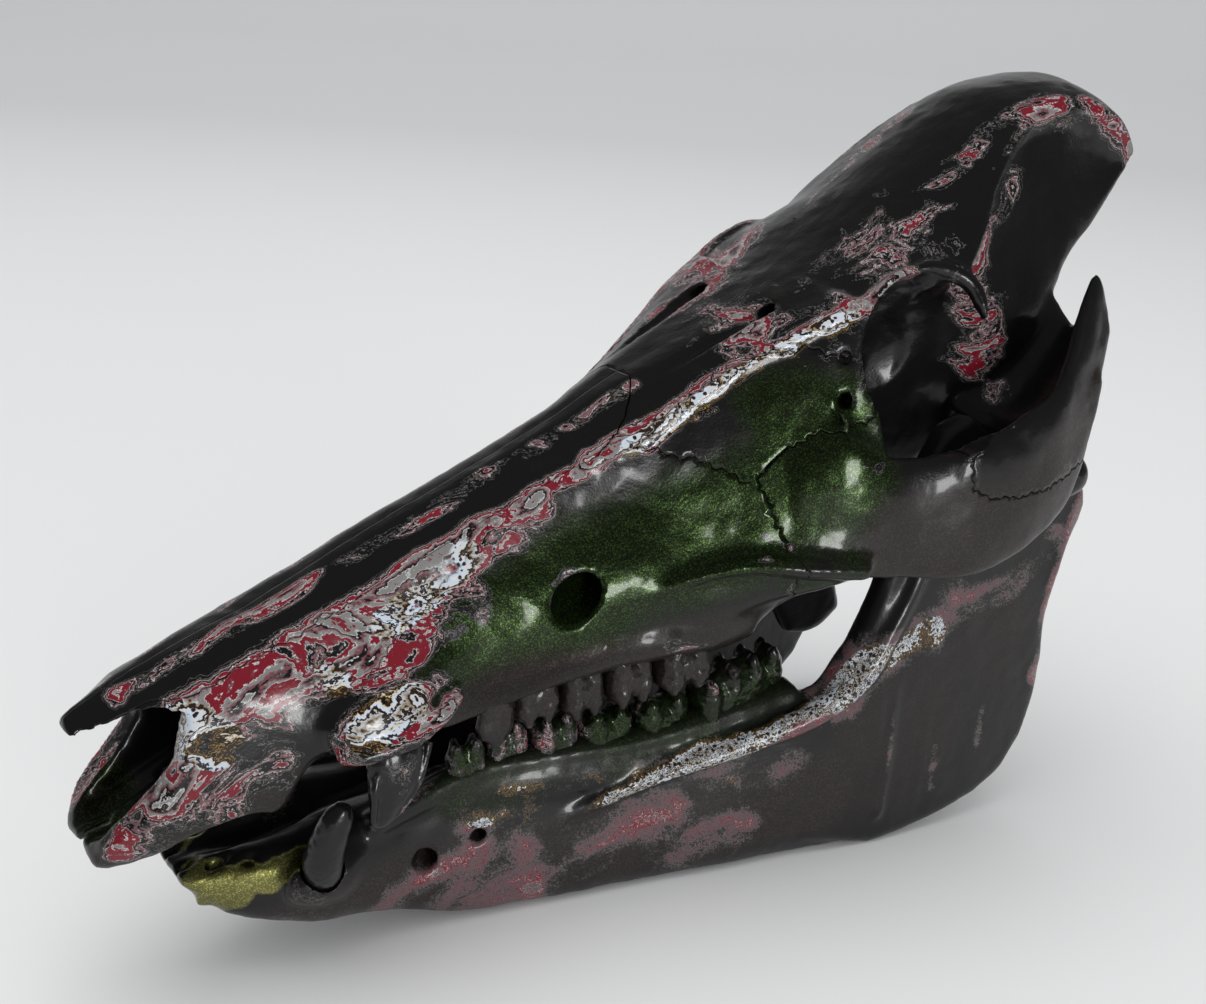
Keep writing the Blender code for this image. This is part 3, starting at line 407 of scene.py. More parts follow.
ROOT_FRONT = [(-64, 270), (-52, 268), (-44, 267), (-28, 262), (-20, 258)]
ROOT_BACK = [(-64, 287), (-56, 291), (-48, 297), (-40, 303), (-28, 304), (-20, 300)]
ROOT_FLOOR = [(-64, 114), (-52, 115.5), (-36, 115), (-20, 108)]
ROOT_TOP_BACK = [(-64, 140), (-56, 150), (-48, 152), (-40, 149), (-32, 156), (-20, 160)]
ROOT_TOP_FRONT = [(-64, 130), (-52, 127), (-40, 125), (-28, 132), (-20, 140)]


def arch_root():
    """The bridge from the braincase out to the left cheek arch, which carries the jaw joint."""
    rings = []
    for y in stations(-64, -20, 4):
        front, back, floor, top_f, top_b = [through(k, y) for k in (ROOT_FRONT, ROOT_BACK, ROOT_FLOOR,
                                                                    ROOT_TOP_FRONT, ROOT_TOP_BACK)]
        mid = (front + back) / 2
        rings.append([(front + 2, y, floor + 2), (mid, y, floor), (back - 6, y, floor + 1),
                      (back - 2, y, (floor + top_b) / 2), (back, y, top_b - 3), (back - 3, y, top_b),
                      (mid, y, (top_f + top_b) / 2 - 4), (front + 3, y, top_f), (front, y, top_f - 4)])
    return drawn_up("arch_root", rings)


def brow_rim():
    """The thick upper rim of the left eye socket, down to the tip of its rear process."""
    rim = [(208.5, -42.5, 141, 2.2), (210, -40.5, 149, 2.4), (212, -38, 156.5, 2.4), (217.5, -37, 165.5, 2.4),
           (227, -37, 171.5, 2.4), (238, -38.5, 173.6, 2.6), (247, -41.5, 170.8, 2.8), (251, -45.5, 165, 2.6),
           (250.5, -48.5, 158.5, 1.6)]
    return limb("brow_rim", [(*stop, stop[3]) for stop in rim], points=12)


def canine_ridge():
    """The swelling over the root of the left upper canine, with the crest along its socket."""
    return [
        knob("canine_root", (70, -25.5, 82), (14, 7, 9)),
        limb("canine_crest", [(57, -28.5, 78.5, 2.2, 3), (64, -31.2, 78, 2.6, 3.6),
            (73, -32.2, 78.6, 2.6, 3.6), (82, -30.8, 80.2, 2.2, 3), (92, -26.8, 83, 1.4, 2)], points=12),
    ]


def upper_tooth_ridge():
    """The ridge of bone that the left upper cheek teeth stand in."""
    return limb("upper_tooth_ridge", [(97, -21.5, 80, 6.5, 3.6), (112, -22.5, 82, 6.8, 4.6),
        (125, -23.8, 82, 7, 5.6), (140, -26, 82.5, 7, 6.6), (155, -28.8, 82.5, 7, 7.4),
        (170, -31, 81.5, 7, 6.6), (182, -31.5, 81, 6.5, 5)], points=14)


def pterygoids():
    """The left wing that hangs behind the palate, ending in a small hook."""
    outline = [(196, 92), (200, 80), (204, 72), (209, 62.5), (216, 60), (223, 60.5), (231, 65), (229, 71),
        (226, 82), (232, 95), (238, 104), (215, 104)]
    return slab("pterygoid", outline, lambda x, z: -17.5 - 0.04 * (z - 80), 6.0, 1.5)


def skull_base():
    """The drum of the ear, the neck joint and the long process behind the jaw, on the left."""
    return [
        knob("ear_drum", (270, -16.5, 101), (10, 7.5, 13), (0, -12, 0)),
        knob("neck_joint", (303, -11, 127), (10, 7.5, 12), (0, 25, 0)),
        limb("jugular_process", [(292, -27, 132, 9, 6), (290, -28, 112, 7, 4.5), (287, -27, 96, 5.5, 3.4),
            (284, -25, 82, 2.8, 2.2)], points=14),
        limb("ear_canal", [(286, -30, 128, 6, 6), (293, -38, 134, 5, 5),
            (298, -43, 140, 4.2, 4.2)], points=12),
    ]


def nasal_cavity():
    """The hollow behind the nostrils, open at the front and closed behind the canines."""
    rings = []
    for x in stations(-14, 112, 6):
        t = min(max((x - 3) / 109, 0), 1)
        wide = through([(-14, 10), (10, 11), (28, 12.5), (60, 12.5), (84, 11), (100, 9.5), (112, 6)], x)
        floor = through([(-14, 62), (5, 62), (30, 69), (60, 77), (112, 92)], x)
        roof = through(TOP_LINE, x) - through([(-14, 4.5), (20, 5.2), (68, 5.8), (84, 11), (112, 16)], x)
        high = (floor + roof) / 2
        half = [(wide * 0.35, floor), (wide * 0.85, floor + 3), (wide, high), (wide * 0.8, roof - 3),
                (wide * 0.3, roof)]
        rings.append([(x, 0, floor + 3 + 3 * t)] + [(x, y, z) for y, z in half]
                     + [(x, -y, z) for y, z in reversed(half)])
    return drawn_up("nasal_cavity", rings)


def nostril_notch():
    """The side view of the nose opening, cut right across between the nasal tips and upper jaw."""
    outline = [(-14, 90.4), (3, 90.6), (8, 91.6), (11.5, 93.2), (15.3, 95), (20.8, 96), (24, 94.8),
        (27.5, 94.4), (25.6, 90), (24.2, 85.5), (22.3, 81.5), (19, 77.5), (15, 73.6), (11, 70.6),
        (7.5, 67.6), (4.6, 64.8), (2.6, 61.5), (-14, 58.5)]
    return slab("nostril_notch", outline, lambda x, z: 0, 90, 0.5)


def eye_socket():
    """The left eye socket, from its rim in to the wall of the braincase."""
    stops = [(-80, 232, 152, 23, 27), (-52, 231.5, 151.5, 21, 25.5), (-40, 231.5, 149.5, 20, 24.3),
        (-30, 231, 147, 17, 20.5), (-24, 230, 145, 12, 14), (-21, 229, 144, 5, 6)]
    rings = [ellipse_ring((x, y, z), (a, 0, 0), (0, 0, b), 28) for y, x, z, a, b in stops]
    return drawn_up("eye_socket", rings)


def face_holes():
    """The nerve and tear openings of the left side, each a short tapered channel."""
    return [
        limb("cheek_nerve", [(119, -36, 98, 6, 7), (127, -27, 99.5, 5.6, 6.4), (137, -22, 101, 4, 4.4),
            (146, -19, 103, 2, 2)], UPRIGHT, points=16),
        limb("tear_upper", [(198, -48, 157, 2.2, 2.6), (206, -40, 154, 1.9, 2.2),
            (213, -35, 151, 1.2, 1.4)], UPRIGHT, points=12),
        limb("tear_lower", [(196, -51, 145, 2.4, 2.8), (205, -42, 142.5, 2.1, 2.4),
            (212, -36, 140, 1.2, 1.4)], UPRIGHT, points=12),
        limb("brow_nerve", [(215, -15.5, 158, 1.4, 1.8), (206, -15, 160.5, 2.2, 2.4),
            (197, -14.5, 162.4, 2.9, 2.9), (189, -13.8, 160.4, 2.7, 2.9), (176, -12.5, 155.2, 2.3, 2.5),
            (160, -11.6, 149, 1.6, 1.8)], points=12),
        knob("palate_slot", (34, -5.5, 66), (10, 2.8, 9)),
    ]


def midline_holes():
    """The opening for the spinal cord, the rear of the nose and the cleft between the front teeth."""
    cleft = slab("front_cleft", [(-6, 40), (8, 40), (12, 70), (-6, 72)], lambda x, z: 0, 2.2, 0.3)
    return [
        limb("cord_hole", [(320, 0, 148, 11, 10.5), (300, 0, 139, 10, 10), (285, 0, 136, 10, 10),
            (268, 0, 138, 6, 6)], points=16),
        limb("rear_nose", [(236, 0, 76, 11, 11.5), (214, 0, 86, 11, 11.5), (200, 0, 92, 9, 11),
            (182, 0, 99, 5, 7)], points=16),
        cleft,
    ]


def muscle_crests():
    """Fine raised lines on the left: cheek crest, tear ridge, the brow's edge and temple line."""
    return [
        limb("cheek_crest", [(146, -31, 97, 1.6, 2.2), (158, -36, 101, 2, 3), (172, -42, 103, 2.4, 4),
            (188, -49.5, 101, 3, 5), (204, -55.5, 98, 3, 4)], points=14),
        limb("tear_ridge", [(199, -42, 151, 1.2, 1.6), (200, -44, 144, 1.4, 1.8),
            (202, -47, 137, 1.2, 1.6)], points=12),
        limb("brow_edge", [(138, -16.6, 131.2, 1.2, 1.6), (160, -19.6, 139.3, 1.4, 1.8),
            (180, -24, 150.2, 1.6, 2), (200, -31, 159.8, 1.8, 2.2), (220, -37, 168, 1.6, 2)], points=12),
        limb("temple_line", [(250, -41, 172, 1.4, 2), (262, -35, 184, 1.5, 2),
            (276, -28.4, 197.5, 1.5, 2), (294, -22.8, 208, 1.4, 2)], points=12),
    ]


def weathered(obj, lumps):
    """Moves the skin in and out by a few tenths of a millimetre, in lumps of (size, height)."""
    for size, height in lumps:
        swell = obj.modifiers.new("lumps", "DISPLACE")
        swell.texture = bpy.data.textures.new("lumps", "CLOUDS")
        swell.texture.noise_scale = size
        swell.texture.noise_depth = 1
        swell.strength = height
        swell.mid_level = 0.5
    return evaluated(obj)


def crack(name, over, path, looking, width=0.5, depth=1.0, wave=0.7, seed=0.0):
    """A wavy seam to be cut into a surface, along a path seen in the direction `looking`."""
    tree = BVHTree.FromObject(over, bpy.context.evaluated_depsgraph_get())
    looking = Vector(looking).normalized()
    hits = []
    for a, b in zip(path, path[1:]):
        a, b = Vector(a), Vector(b)
        steps = max(2, int((b - a).length / 1.3))
        side = (b - a).normalized().cross(looking)
        for i in range(steps):
            t = len(hits)
            sway = wave * (math.sin(t * 1.9 + seed) + 0.7 * math.sin(t * 0.83 + seed * 2.3))
            p = a.lerp(b, i / steps) + side * sway
            where, normal, _, _ = tree.ray_cast(p - looking * 60, looking)
            if where is not None:
                hits.append((where, normal))
    rings = []
    for i, (where, normal) in enumerate(hits):
        ahead = hits[min(i + 1, len(hits) - 1)][0] - hits[max(i - 1, 0)][0]
        across = ahead.cross(normal).normalized() * (width / 2)
        taper = min(1.0, 0.25 + min(i, len(hits) - 1 - i) / 4)
        top = where + normal * 0.4
        low = where - normal * depth * taper
        rings.append([top - across * 1.3, top + across * 1.3, low + across * 0.3, low - across * 0.3])
    return drawn_up(name, rings)


pieces = [drawn_up("face", [mirrored_ring(x, face_half(x)) for x in stations(2, 214, 2.5)]),
          drawn_up("vault", [mirrored_ring(x, vault_half(x)) for x in stations(194, 335, 2.5)])]
pieces += both_of([cheek_arch(), arch_root(), brow_rim(), *canine_ridge(), upper_tooth_ridge(),
                   pterygoids(), *skull_base(), *muscle_crests()])
skull = fused("upper_skull", pieces, FIRST_VOXEL, 6)
cutters = [nasal_cavity(), nostril_notch(), *midline_holes()]
cutters += both_of([eye_socket(), *face_holes(),
                    knob("joint_hollow", (286, -48.5, 107), (10.4, 13.9, 9.9), (0, -10, 8))])
combine(skull, cutters, "DIFFERENCE")
skull = fused("upper_skull", [skull], SKULL_VOXEL, 2)
weathered(skull, [(26, 0.9), (9, 0.45), (3.5, 0.16)])
seams = [
    crack("tear_bone_seam", skull, [(149, -24, 138), (158, -31, 136), (169, -36, 131.6), (178, -47, 127.3)],
          (0, 0.9, -0.4), seed=1.0),
    crack("brow_seam", skull,
          [(206, -42, 156.7), (200.6, -36, 158.4), (190, -31, 157.6), (180.8, -28, 156.7)],
          (0, 0.7, -0.7), seed=2.0),
    crack("tear_bone_front", skull, [(180.8, -28, 156.7), (168, -25, 148), (158, -24, 142), (149, -24, 138)],
          (0, 0.8, -0.6), seed=3.0),
]
combine(skull, both_of(seams), "DIFFERENCE")


def worn_edges(obj, rounds):
    """How far each point stands proud of the skin round it, in millimetres."""
    mesh = obj.data
    count = len(mesh.vertices)
    points = measures(mesh.vertices, "co", 3)
    normals = measures(mesh.vertices, "normal", 3)
    ends = measures(mesh.edges, "vertices", 2, np.int32)
    valence = np.maximum(np.bincount(ends.ravel(), minlength=count), 1)[:, None]
    flat = points.copy()
    for _ in range(rounds):
        total = np.empty_like(flat)
        for k in range(3):
            total[:, k] = np.bincount(ends[:, 0], flat[ends[:, 1], k], count)
            total[:, k] += np.bincount(ends[:, 1], flat[ends[:, 0], k], count)
        flat = total / valence
    return points, ((points - flat) * normals).sum(axis=1)


def near_line(points, line, radius):
    """1 along a line through the points given on the right side, fading out past its radius."""
    best = np.full(len(points), 1e9)
    for a, b in zip(line, line[1:] if len(line) > 1 else line):
        a, b = np.array(a, dtype=float), np.array(b, dtype=float)
        span = b - a
        t = np.clip((points - a) @ span / max(span @ span, 1e-6), 0, 1)
        best = np.minimum(best, np.linalg.norm(points - a - t[:, None] * span, axis=1))
    t = np.clip((1.6 - best / radius) / 1.1, 0, 1)
    return t * t * (3 - 2 * t)


def lacquered(obj, zones, material, worn=0.0):
    """Marks where each coat lies as named point values, and sets the bone on the table in metres."""
    points, proud = worn_edges(obj, 10)
    outward = measures(obj.data.vertices, "normal", 3)[:, 1] * np.sign(points[:, 1])
    open_to_hand = np.clip((outward + 0.5) / 0.3, 0, 1)
    mirrored = np.abs(points) * (0, 1, 0) + points * (1, 0, 1)
    for layer, lines in zones.items():
        value = np.zeros(len(points))
        for strength, radius, line in lines:
            value = np.maximum(value, strength * near_line(mirrored, line, radius))
        if layer == "rubbed":
            value = (value + np.clip(proud * worn, 0, 0.3 * worn)) * np.clip(1.4 + proud * 2, 0, 1)
        if layer in ("rubbed", "gilt"):
            value *= open_to_hand
        mark = obj.data.attributes.new(layer, "FLOAT", "POINT")
        mark.data.foreach_set("value", value.astype(np.float32))
    obj.data.transform(STAND)
    obj.data.materials.clear()
    obj.data.materials.append(material)
    obj.data.shade_smooth()


def put(tree, kind, sockets=None, **settings):
    """Adds a shader node with its settings, and its sockets set or linked."""
    made = tree.nodes.new("ShaderNode" + kind)
    for name, value in settings.items():
        setattr(made, name, value)
    for socket, value in (sockets or {}).items():
        if isinstance(value, bpy.types.NodeSocket):
            tree.links.new(value, made.inputs[socket])
        else:
            made.inputs[socket].default_value = value
    return made


def sums(tree, a, b, c=0.0, operation="MULTIPLY_ADD"):
    return put(tree, "Math", {0: a, 1: b, 2: c}, operation=operation).outputs[0]


def blended(tree, share, a, b):
    sides = {6: a, 7: b}
    for socket, value in sides.items():
        if not isinstance(value, bpy.types.NodeSocket):
            sides[socket] = (*value, 1.0)
    return put(tree, "Mix", {0: share, **sides}, data_type="RGBA").outputs[2]


def bands(tree, depth, stops):
    ramp = put(tree, "ValToRGB", {0: depth})
    elements = ramp.color_ramp.elements
    for element, (place, color) in ((elements[1], stops[-1]), (elements[0], stops[0])):
        element.position = place
        element.color = (*color, 1.0)
    for place, color in stops[1:-1]:
        elements.new(place).color = (*color, 1.0)
    return ramp.outputs[0]


BLACK = (0.005, 0.0045, 0.0045)
BROWN = (0.018, 0.01, 0.008)
ASH = (0.16, 0.155, 0.15)
WHITE = (0.46, 0.46, 0.45)
ROSE = (0.13, 0.048, 0.057)
CRIMSON = (0.14, 0.006, 0.014)
GOLD = (0.34, 0.21, 0.05)
PLUM = (0.06, 0.035, 0.042)
SLATE = (0.07, 0.066, 0.068)
SKY = (0.42, 0.5, 0.6)
# Dark and light of the top coat's flakes: pearl green, plum film and gold leaf.
PEARLS = [((0.007, 0.011, 0.004), (0.045, 0.09, 0.017)), ((0.008, 0.0055, 0.005), (0.036, 0.025, 0.021)),
    ((0.14, 0.135, 0.04), (0.42, 0.42, 0.15))]
# The coats met as the rubbing goes deeper, from the top coat's edge to 1 at the bone.
TOP_COAT_EDGE = 0.34
OUTLINE = [(TOP_COAT_EDGE, BLACK), (0.343, ASH), (0.352, BLACK)]
RUBBED_THROUGH = [(0.4, BLACK), (0.404, ASH), (0.415, BROWN), (0.44, BROWN), (0.444, WHITE),
    (0.455, ROSE), (0.475, ROSE), (0.479, ASH), (0.487, BLACK), (0.525, BLACK), (0.53, WHITE),
    (0.542, ROSE), (0.56, CRIMSON), (0.62, CRIMSON), (0.625, WHITE), (0.64, ASH), (0.68, ASH),
    (0.685, ROSE), (0.715, ROSE), (0.72, BLACK), (0.76, BLACK), (0.765, WHITE), (0.785, ASH), (0.86, ASH),
    (0.865, CRIMSON), (0.93, CRIMSON), (0.935, WHITE), (1.0, ASH)]
PALE_LAYERS = [(0.4, BLACK), (0.404, GOLD), (0.415, BROWN), (0.45, BROWN), (0.454, GOLD), (0.466, BLACK),
    (0.5, BLACK), (0.505, GOLD), (0.52, WHITE), (0.57, SKY), (0.575, BROWN), (0.61, BROWN),
    (0.615, WHITE), (0.66, ASH), (0.665, GOLD), (0.675, BROWN), (0.72, BROWN), (0.725, WHITE),
    (0.85, SKY), (0.86, ROSE), (1.0, WHITE)]


def ranged(tree, value, low, high):
    return put(tree, "MapRange", {"Value": value, "From Min": low, "From Max": high}).outputs[0]


def lacquer(name, satin, dust, coats):
    """Coats on coats rubbed back under a clear gloss: pearl green, plum and black over paler ones."""
    material = bpy.data.materials.new(name)
    material.use_nodes = True
    tree = material.node_tree
    shader = tree.nodes["Principled BSDF"]
    place = put(tree, "TexCoord").outputs["Object"]
    drawn = put(tree, "Mapping", {"Vector": place, "Scale": (0.6, 1.0, 1.0),
                                  "Rotation": (0, 0.5, 0)}).outputs[0]
    mark = {key: put(tree, "Attribute", attribute_name=key).outputs["Fac"]
            for key in ("rubbed", "pale", "green", "plum", "gilt")}
    broad = put(tree, "TexNoise", {"Vector": drawn, "Scale": 64.0, "Detail": 7.0, "Roughness": 0.58,
                                   "Distortion": 0.6}).outputs[0]
    fine = put(tree, "TexNoise", {"Vector": place, "Scale": 1300.0, "Detail": 2.0}).outputs[0]
    patch = put(tree, "TexNoise", {"Vector": place, "Scale": 34.0, "Detail": 4.0}).outputs[0]

    # The depth of the rubbing at each point, and the layers it brings out.
    depth = sums(tree, broad, 1.7, -0.85)
    depth = sums(tree, depth, sums(tree, fine, dust, -dust / 2), operation="ADD")
    depth = sums(tree, mark["rubbed"], 0.8, depth)
    marbled = bands(tree, depth, OUTLINE + coats)
    dots = put(tree, "TexVoronoi", {"Vector": place, "Scale": 560.0, "Randomness": 0.95}).outputs["Distance"]
    spotted = ranged(tree, sums(tree, fine, 0.3, dots), 0.42, 0.5)
    paler = blended(tree, spotted, BROWN, bands(tree, depth, OUTLINE + PALE_LAYERS))
    layers = blended(tree, ranged(tree, sums(tree, mark["pale"], 0.5, patch), 0.66, 0.7), marbled, paler)
    through_coat = ranged(tree, depth, TOP_COAT_EDGE, TOP_COAT_EDGE + 0.003)

    # The top coat: black, with pearl flakes where it is green or gilt and a dusty film where plum.
    flakes = put(tree, "TexVoronoi", {"Vector": place, "Scale": 3600.0}).outputs["Color"]
    flake = sums(tree, put(tree, "SeparateColor", {0: flakes}).outputs[0], 4.0, operation="POWER")
    pearl, dusty, gold_leaf = [blended(tree, flake, dark, light) for dark, light in PEARLS]
    wander = sums(tree, patch, 1.5, -0.75)
    green, plum = [ranged(tree, sums(tree, mark[key], wander, operation="ADD"), 0.25, 0.95)
                   for key in ("green", "plum")]
    gilding = sums(tree, mark["gilt"], -1.3, operation="ADD")
    gilding = ranged(tree, sums(tree, broad, 1.6, gilding), 0.0, 0.15)
    coat = BLACK
    for share, film in ((green, pearl), (plum, dusty), (gilding, gold_leaf)):
        coat = blended(tree, share, coat, film)
    metal = sums(tree, sums(tree, green, 0.8, operation="MULTIPLY"), gilding, operation="MAXIMUM")
    bare = sums(tree, 1.0, through_coat, operation="SUBTRACT")
    relief = put(tree, "Bump", {"Height": sums(tree, fine, 0.15, broad), "Strength": 0.3, "Distance": 0.0012})
    for socket, value in (("Base Color", blended(tree, through_coat, coat, layers)),
                          ("Metallic", sums(tree, metal, bare, operation="MULTIPLY")),
                          ("Roughness", sums(tree, patch, 0.1, sums(tree, plum, 0.12, satin))),
                          ("Normal", relief.outputs[0])):
        tree.links.new(value, shader.inputs[socket])
    shader.inputs["Specular IOR Level"].default_value = 0.22
    shader.inputs["Coat Weight"].default_value = 0.3
    shader.inputs["Coat Roughness"].default_value = 0.12
    return material


SKULL_COATS = {
    "rubbed": [
        (0.5, 3, [(14, 5, 98), (40, 6, 106), (80, 6.5, 119), (120, 7, 133), (158, 9, 148)]),
        (0.46, 2.4, [(30, 13, 99), (60, 13, 108), (100, 14.5, 120)]),
        (0.72, 11, [(28, 18, 90), (48, 18, 96), (70, 19, 103)]),
        (0.78, 6.5, [(70, 17.5, 105), (96, 16, 113), (122, 16, 123)]),
        (0.62, 8, [(64, 30, 82), (86, 29, 85)]),
        (0.56, 7, [(76, 23, 96), (100, 22, 105)]),
        (0.58, 10, [(10, 16, 68), (40, 21, 78)]),
        (0.64, 4, [(140, 17, 133), (165, 21, 142), (185, 26, 153), (205, 34, 163), (232, 38, 171)]),
        (0.5, 3.4, [(128, 16.5, 128), (150, 20, 134), (172, 26, 144)]),
        (0.47, 16, [(190, 18, 162), (214, 24, 170), (240, 28, 178)]),
        (0.56, 6, [(208, 34, 166), (226, 37, 172)]),
        (0.44, 9, [(255, 24, 192), (300, 24, 212)]),
        (0.54, 8, [(262, 31, 172), (270, 30, 183), (288, 25, 197)]),
        (0.56, 10, [(262, 32, 170), (268, 33, 152), (272, 34, 138)]),
        (0.48, 5, [(318, 27, 212), (333, 30, 198)]),
    ],
    "pale": [
        (1.0, 5, [(26, 17, 92), (32, 18, 86)]),
        (0.8, 2.4, [(150, 19, 134), (165, 21, 140), (185, 27, 151), (205, 34, 161), (232, 39, 168)]),
        (0.8, 5, [(64, 31, 84), (80, 31, 88)]),
        (0.5, 6, [(50, 20, 98), (60, 20, 92)]),
        (0.5, 5, [(78, 18, 104), (100, 16, 114)]),
    ],
    "green": [
        (1.0, 18, [(100, 27, 92), (127, 27, 98), (160, 36, 112), (196, 48, 122)]),
        (0.9, 12, [(188, 38, 142), (202, 42, 138)]),
        (0.9, 8, [(-2, 8, 70), (10, 8, 66)]),
        (0.8, 6, [(185, 46, 98), (200, 54, 100)]),
    ],
    "plum": [
        (0.9, 9, [(90, 25, 76), (130, 28, 78), (175, 34, 84)]),
        (1.0, 14, [(214, 58, 104), (250, 68, 104), (285, 64, 130)]),
        (0.7, 8, [(4, 12, 60), (50, 22, 68)]),
    ],
    "gilt": [],
}
skull_lacquer = lacquer("lacquered_skull", 0.24, 0.07, RUBBED_THROUGH)

# The nasal bones: two long strips side by side along the top of the muzzle, each rounded off
# behind. They are parted from the skull along a finely toothed seam and lie in it.


def toothed(points, open_ends, pitch=1.1, height=0.45):
    """The points with small sharp waves along them, as a grown bone seam has."""
    line = []
    for i, (a, b) in enumerate(zip(points, points[1:])):
        a, b = Vector(a), Vector(b)
        if i in open_ends:
            line.append(tuple(a))
            continue
        steps = max(1, int((b - a).length / pitch))
        side = Vector((a.y - b.y, b.x - a.x)).normalized()
        for s in range(steps):
            t = len(line)
            sway = height * (math.sin(t * 2.2) + 0.6 * math.sin(t * 0.71 + 1))
            line.append(tuple(a.lerp(b, s / steps) + side * sway))
    line.append(tuple(points[-1]))
    return line


def nasal_region(grow):
    """Room taken by the left nasal bone: inside the muzzle's top edge, back to a rounded rear end."""
    rings = []
    end = 160 + grow
    near = SUTURE_GAP / 2
    for x in [-12, 2, *stations(6, end - 6, 1.3), end - 4.5, end - 3, end - 1.5, end - 0.5, end]:
        taper = math.sqrt(max(0.0, 1 - max(0.0, (x - end + 30) / 31) ** 2))
        sway = 0.3 * (math.sin(x * 1.7) + 0.7 * math.sin(x * 0.59)) if x > 30 else 0
        side = (through(TOP_EDGE, x) + 0.6 + sway) * taper + grow
        top = through(TOP_LINE, x)
        rings.append([(x, -near, top - 8 - grow), (x, -side - near, top - 8 - grow),
                      (x, -side - near, top + 14), (x, -near, top + 14)])
    return drawn_up("nasal_region", rings)


def part_off(whole, region, name):
    """Parts a left and a right bone off the whole along a region's border, leaving a thin gap."""
    bones = []
    for side in ("_left", "_right"):
        bone = whole.copy()
        bone.data = whole.data.copy()
        bone.name = name + side
        bpy.context.scene.collection.objects.link(bone)
        for obj, grow, operation in ((bone, -SUTURE_GAP / 2, "INTERSECT"),
                                     (whole, SUTURE_GAP / 2, "DIFFERENCE")):
            room = region(grow)
            if side == "_right":
                left = room
                room = copy_mirrored(left)
                discard([left])
            combine(obj, [room], operation)
        bones.append(bone)
    return bones


nasals = part_off(skull, nasal_region, "nasal_bone")

# The front bones of the upper jaw, one a side, which hold the front teeth and frame the nostrils.
# Each is parted from the cheek by a seam that climbs from before the canine to the nasal bone.


def offset_outline(outline, distance):
    """An outline of (x, z) points moved outwards by a distance."""
    area = sum(a[0] * b[1] - b[0] * a[1] for a, b in zip(outline, outline[1:] + outline[:1]))
    turn = distance if area > 0 else -distance
    moved = []
    for before, point, after in zip(outline[-1:] + outline[:-1], outline, outline[1:] + outline[:1]):
        a = Vector((point[0] - before[0], point[1] - before[1])).normalized()
        b = Vector((after[0] - point[0], after[1] - point[1])).normalized()
        normals = Vector((a.y, -a.x)) + Vector((b.y, -b.x))
        normals *= 1 / max(0.5 * normals.length_squared, 0.4)
        moved.append((point[0] + turn * normals.x, point[1] + turn * normals.y))
    return moved


def premaxilla_region(grow):
    """Room taken by the left front bone of the upper jaw."""
    seam = [(57.5, 40), (57.5, 77), (59.5, 85), (66, 91), (73, 96), (83, 102.5), (97, 111), (107, 118),
        (111, 124), (108, 150)]
    seam = toothed(seam, (0, 8))
    return slab("front_bone_region", offset_outline([(-20, 40), *seam, (-20, 150)], grow),
                 lambda x, z: -30 - SUTURE_GAP / 2, 60, 0)


front_bones = part_off(skull, premaxilla_region, "front_bone")

# The cheek bones: the lower half of each arch, from the seam under the eye to the jaw joint.
# They meet the skull in toothed seams and rise in a blunt spur under the rear of the eye.


def jugal_region(grow):
    """Room taken by the left cheek bone, from the seam under the eye to the rear of the arch."""
    outline = [(298, 84), (186, 84), (185, 100), (182, 113), (179.5, 124), (184, 130), (196, 135),
        (209, 136.5), (216, 142), (233.5, 142), (234.5, 116.5), (241, 113.5), (250, 112.3), (259, 112.4),
        (270, 114), (282, 117), (298, 117)]

    def inner(x, z):
        lie = [(176, -36), (190, -39), (204, -43), (214, -47), (232, -54), (262, -59), (298, -61)]
        return through(lie, x) - 20

    outline = offset_outline(toothed(outline, (0, 8)), grow)
    return slab("cheek_bone_region", outline, inner, 40 + 2 * grow, 0)


cheek_bones = part_off(skull, jugal_region, "cheek_bone")
thinned(skull, SKULL_TRIANGLES)

for obj, nodes in ((skull, "cranium"), (nasals[0], "nasal_left"), (nasals[1], "nasal_right"),
                   (front_bones[0], "premaxilla_left"), (front_bones[1], "premaxilla_right"),
                   (cheek_bones[0], "jugal_left"), (cheek_bones[1], "jugal_right")):
    lacquered(obj, SKULL_COATS, skull_lacquer, 0.5)
    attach(obj, "root")
    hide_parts(nodes)

# The lower jaw: both halves grown together at the chin, with a rounded rear plate, a joint head and
# the process for the temple muscle on each side. It is fused like the skull and stands on the table.


def lower_jaw_bar():
    """The left bar of the lower jaw, from the chin back to where the rear plate rises."""
    low = [(22, 44), (27, 38.5), (31, 33), (36, 29.8), (46, 25.8), (57, 23), (66, 20.6), (75, 17.2),
        (84, 13.6), (91, 11), (99, 9.6), (111, 8.4), (129, 6.4), (150, 4.5), (169, 3), (185, 1.5),
        (200, 0), (222, -2)]
    high = [(22, 47), (34, 48.5), (50, 49), (62, 51), (76, 50.5), (92, 54), (105, 54), (120, 51.5),
        (140, 48.5), (165, 47.5), (180, 49.5), (200, 54), (222, 62)]
    outer = [(22, 9.5), (34, 14), (45, 18), (55, 22), (65, 21.5), (78, 20), (90, 20.8), (105, 23),
        (120, 25.5), (140, 29.5), (160, 34), (180, 39), (200, 44), (222, 48)]
    inner = [(22, -1), (60, -1), (76, -0.5), (84, 2), (92, 5), (105, 8), (120, 10.5), (140, 14),
        (160, 18.5), (180, 24), (200, 31), (222, 38)]
    lean = [(22, 0), (60, 0), (90, 2), (120, 3), (160, 3), (200, 0), (222, -1)]
    rings = []
    for x in stations(22, 222, 5):
        bottom, top, a, b, tilt = [through(k, x) for k in (low, high, outer, inner, lean)]
        centre = (x, -(a + b) / 2, (bottom + top) / 2)
        rings.append(ellipse_ring(centre, (0, (a - b) / 2, 0), (0, tilt, (top - bottom) / 2), 24, 2.5))
    return drawn_up("jaw_bar", rings)


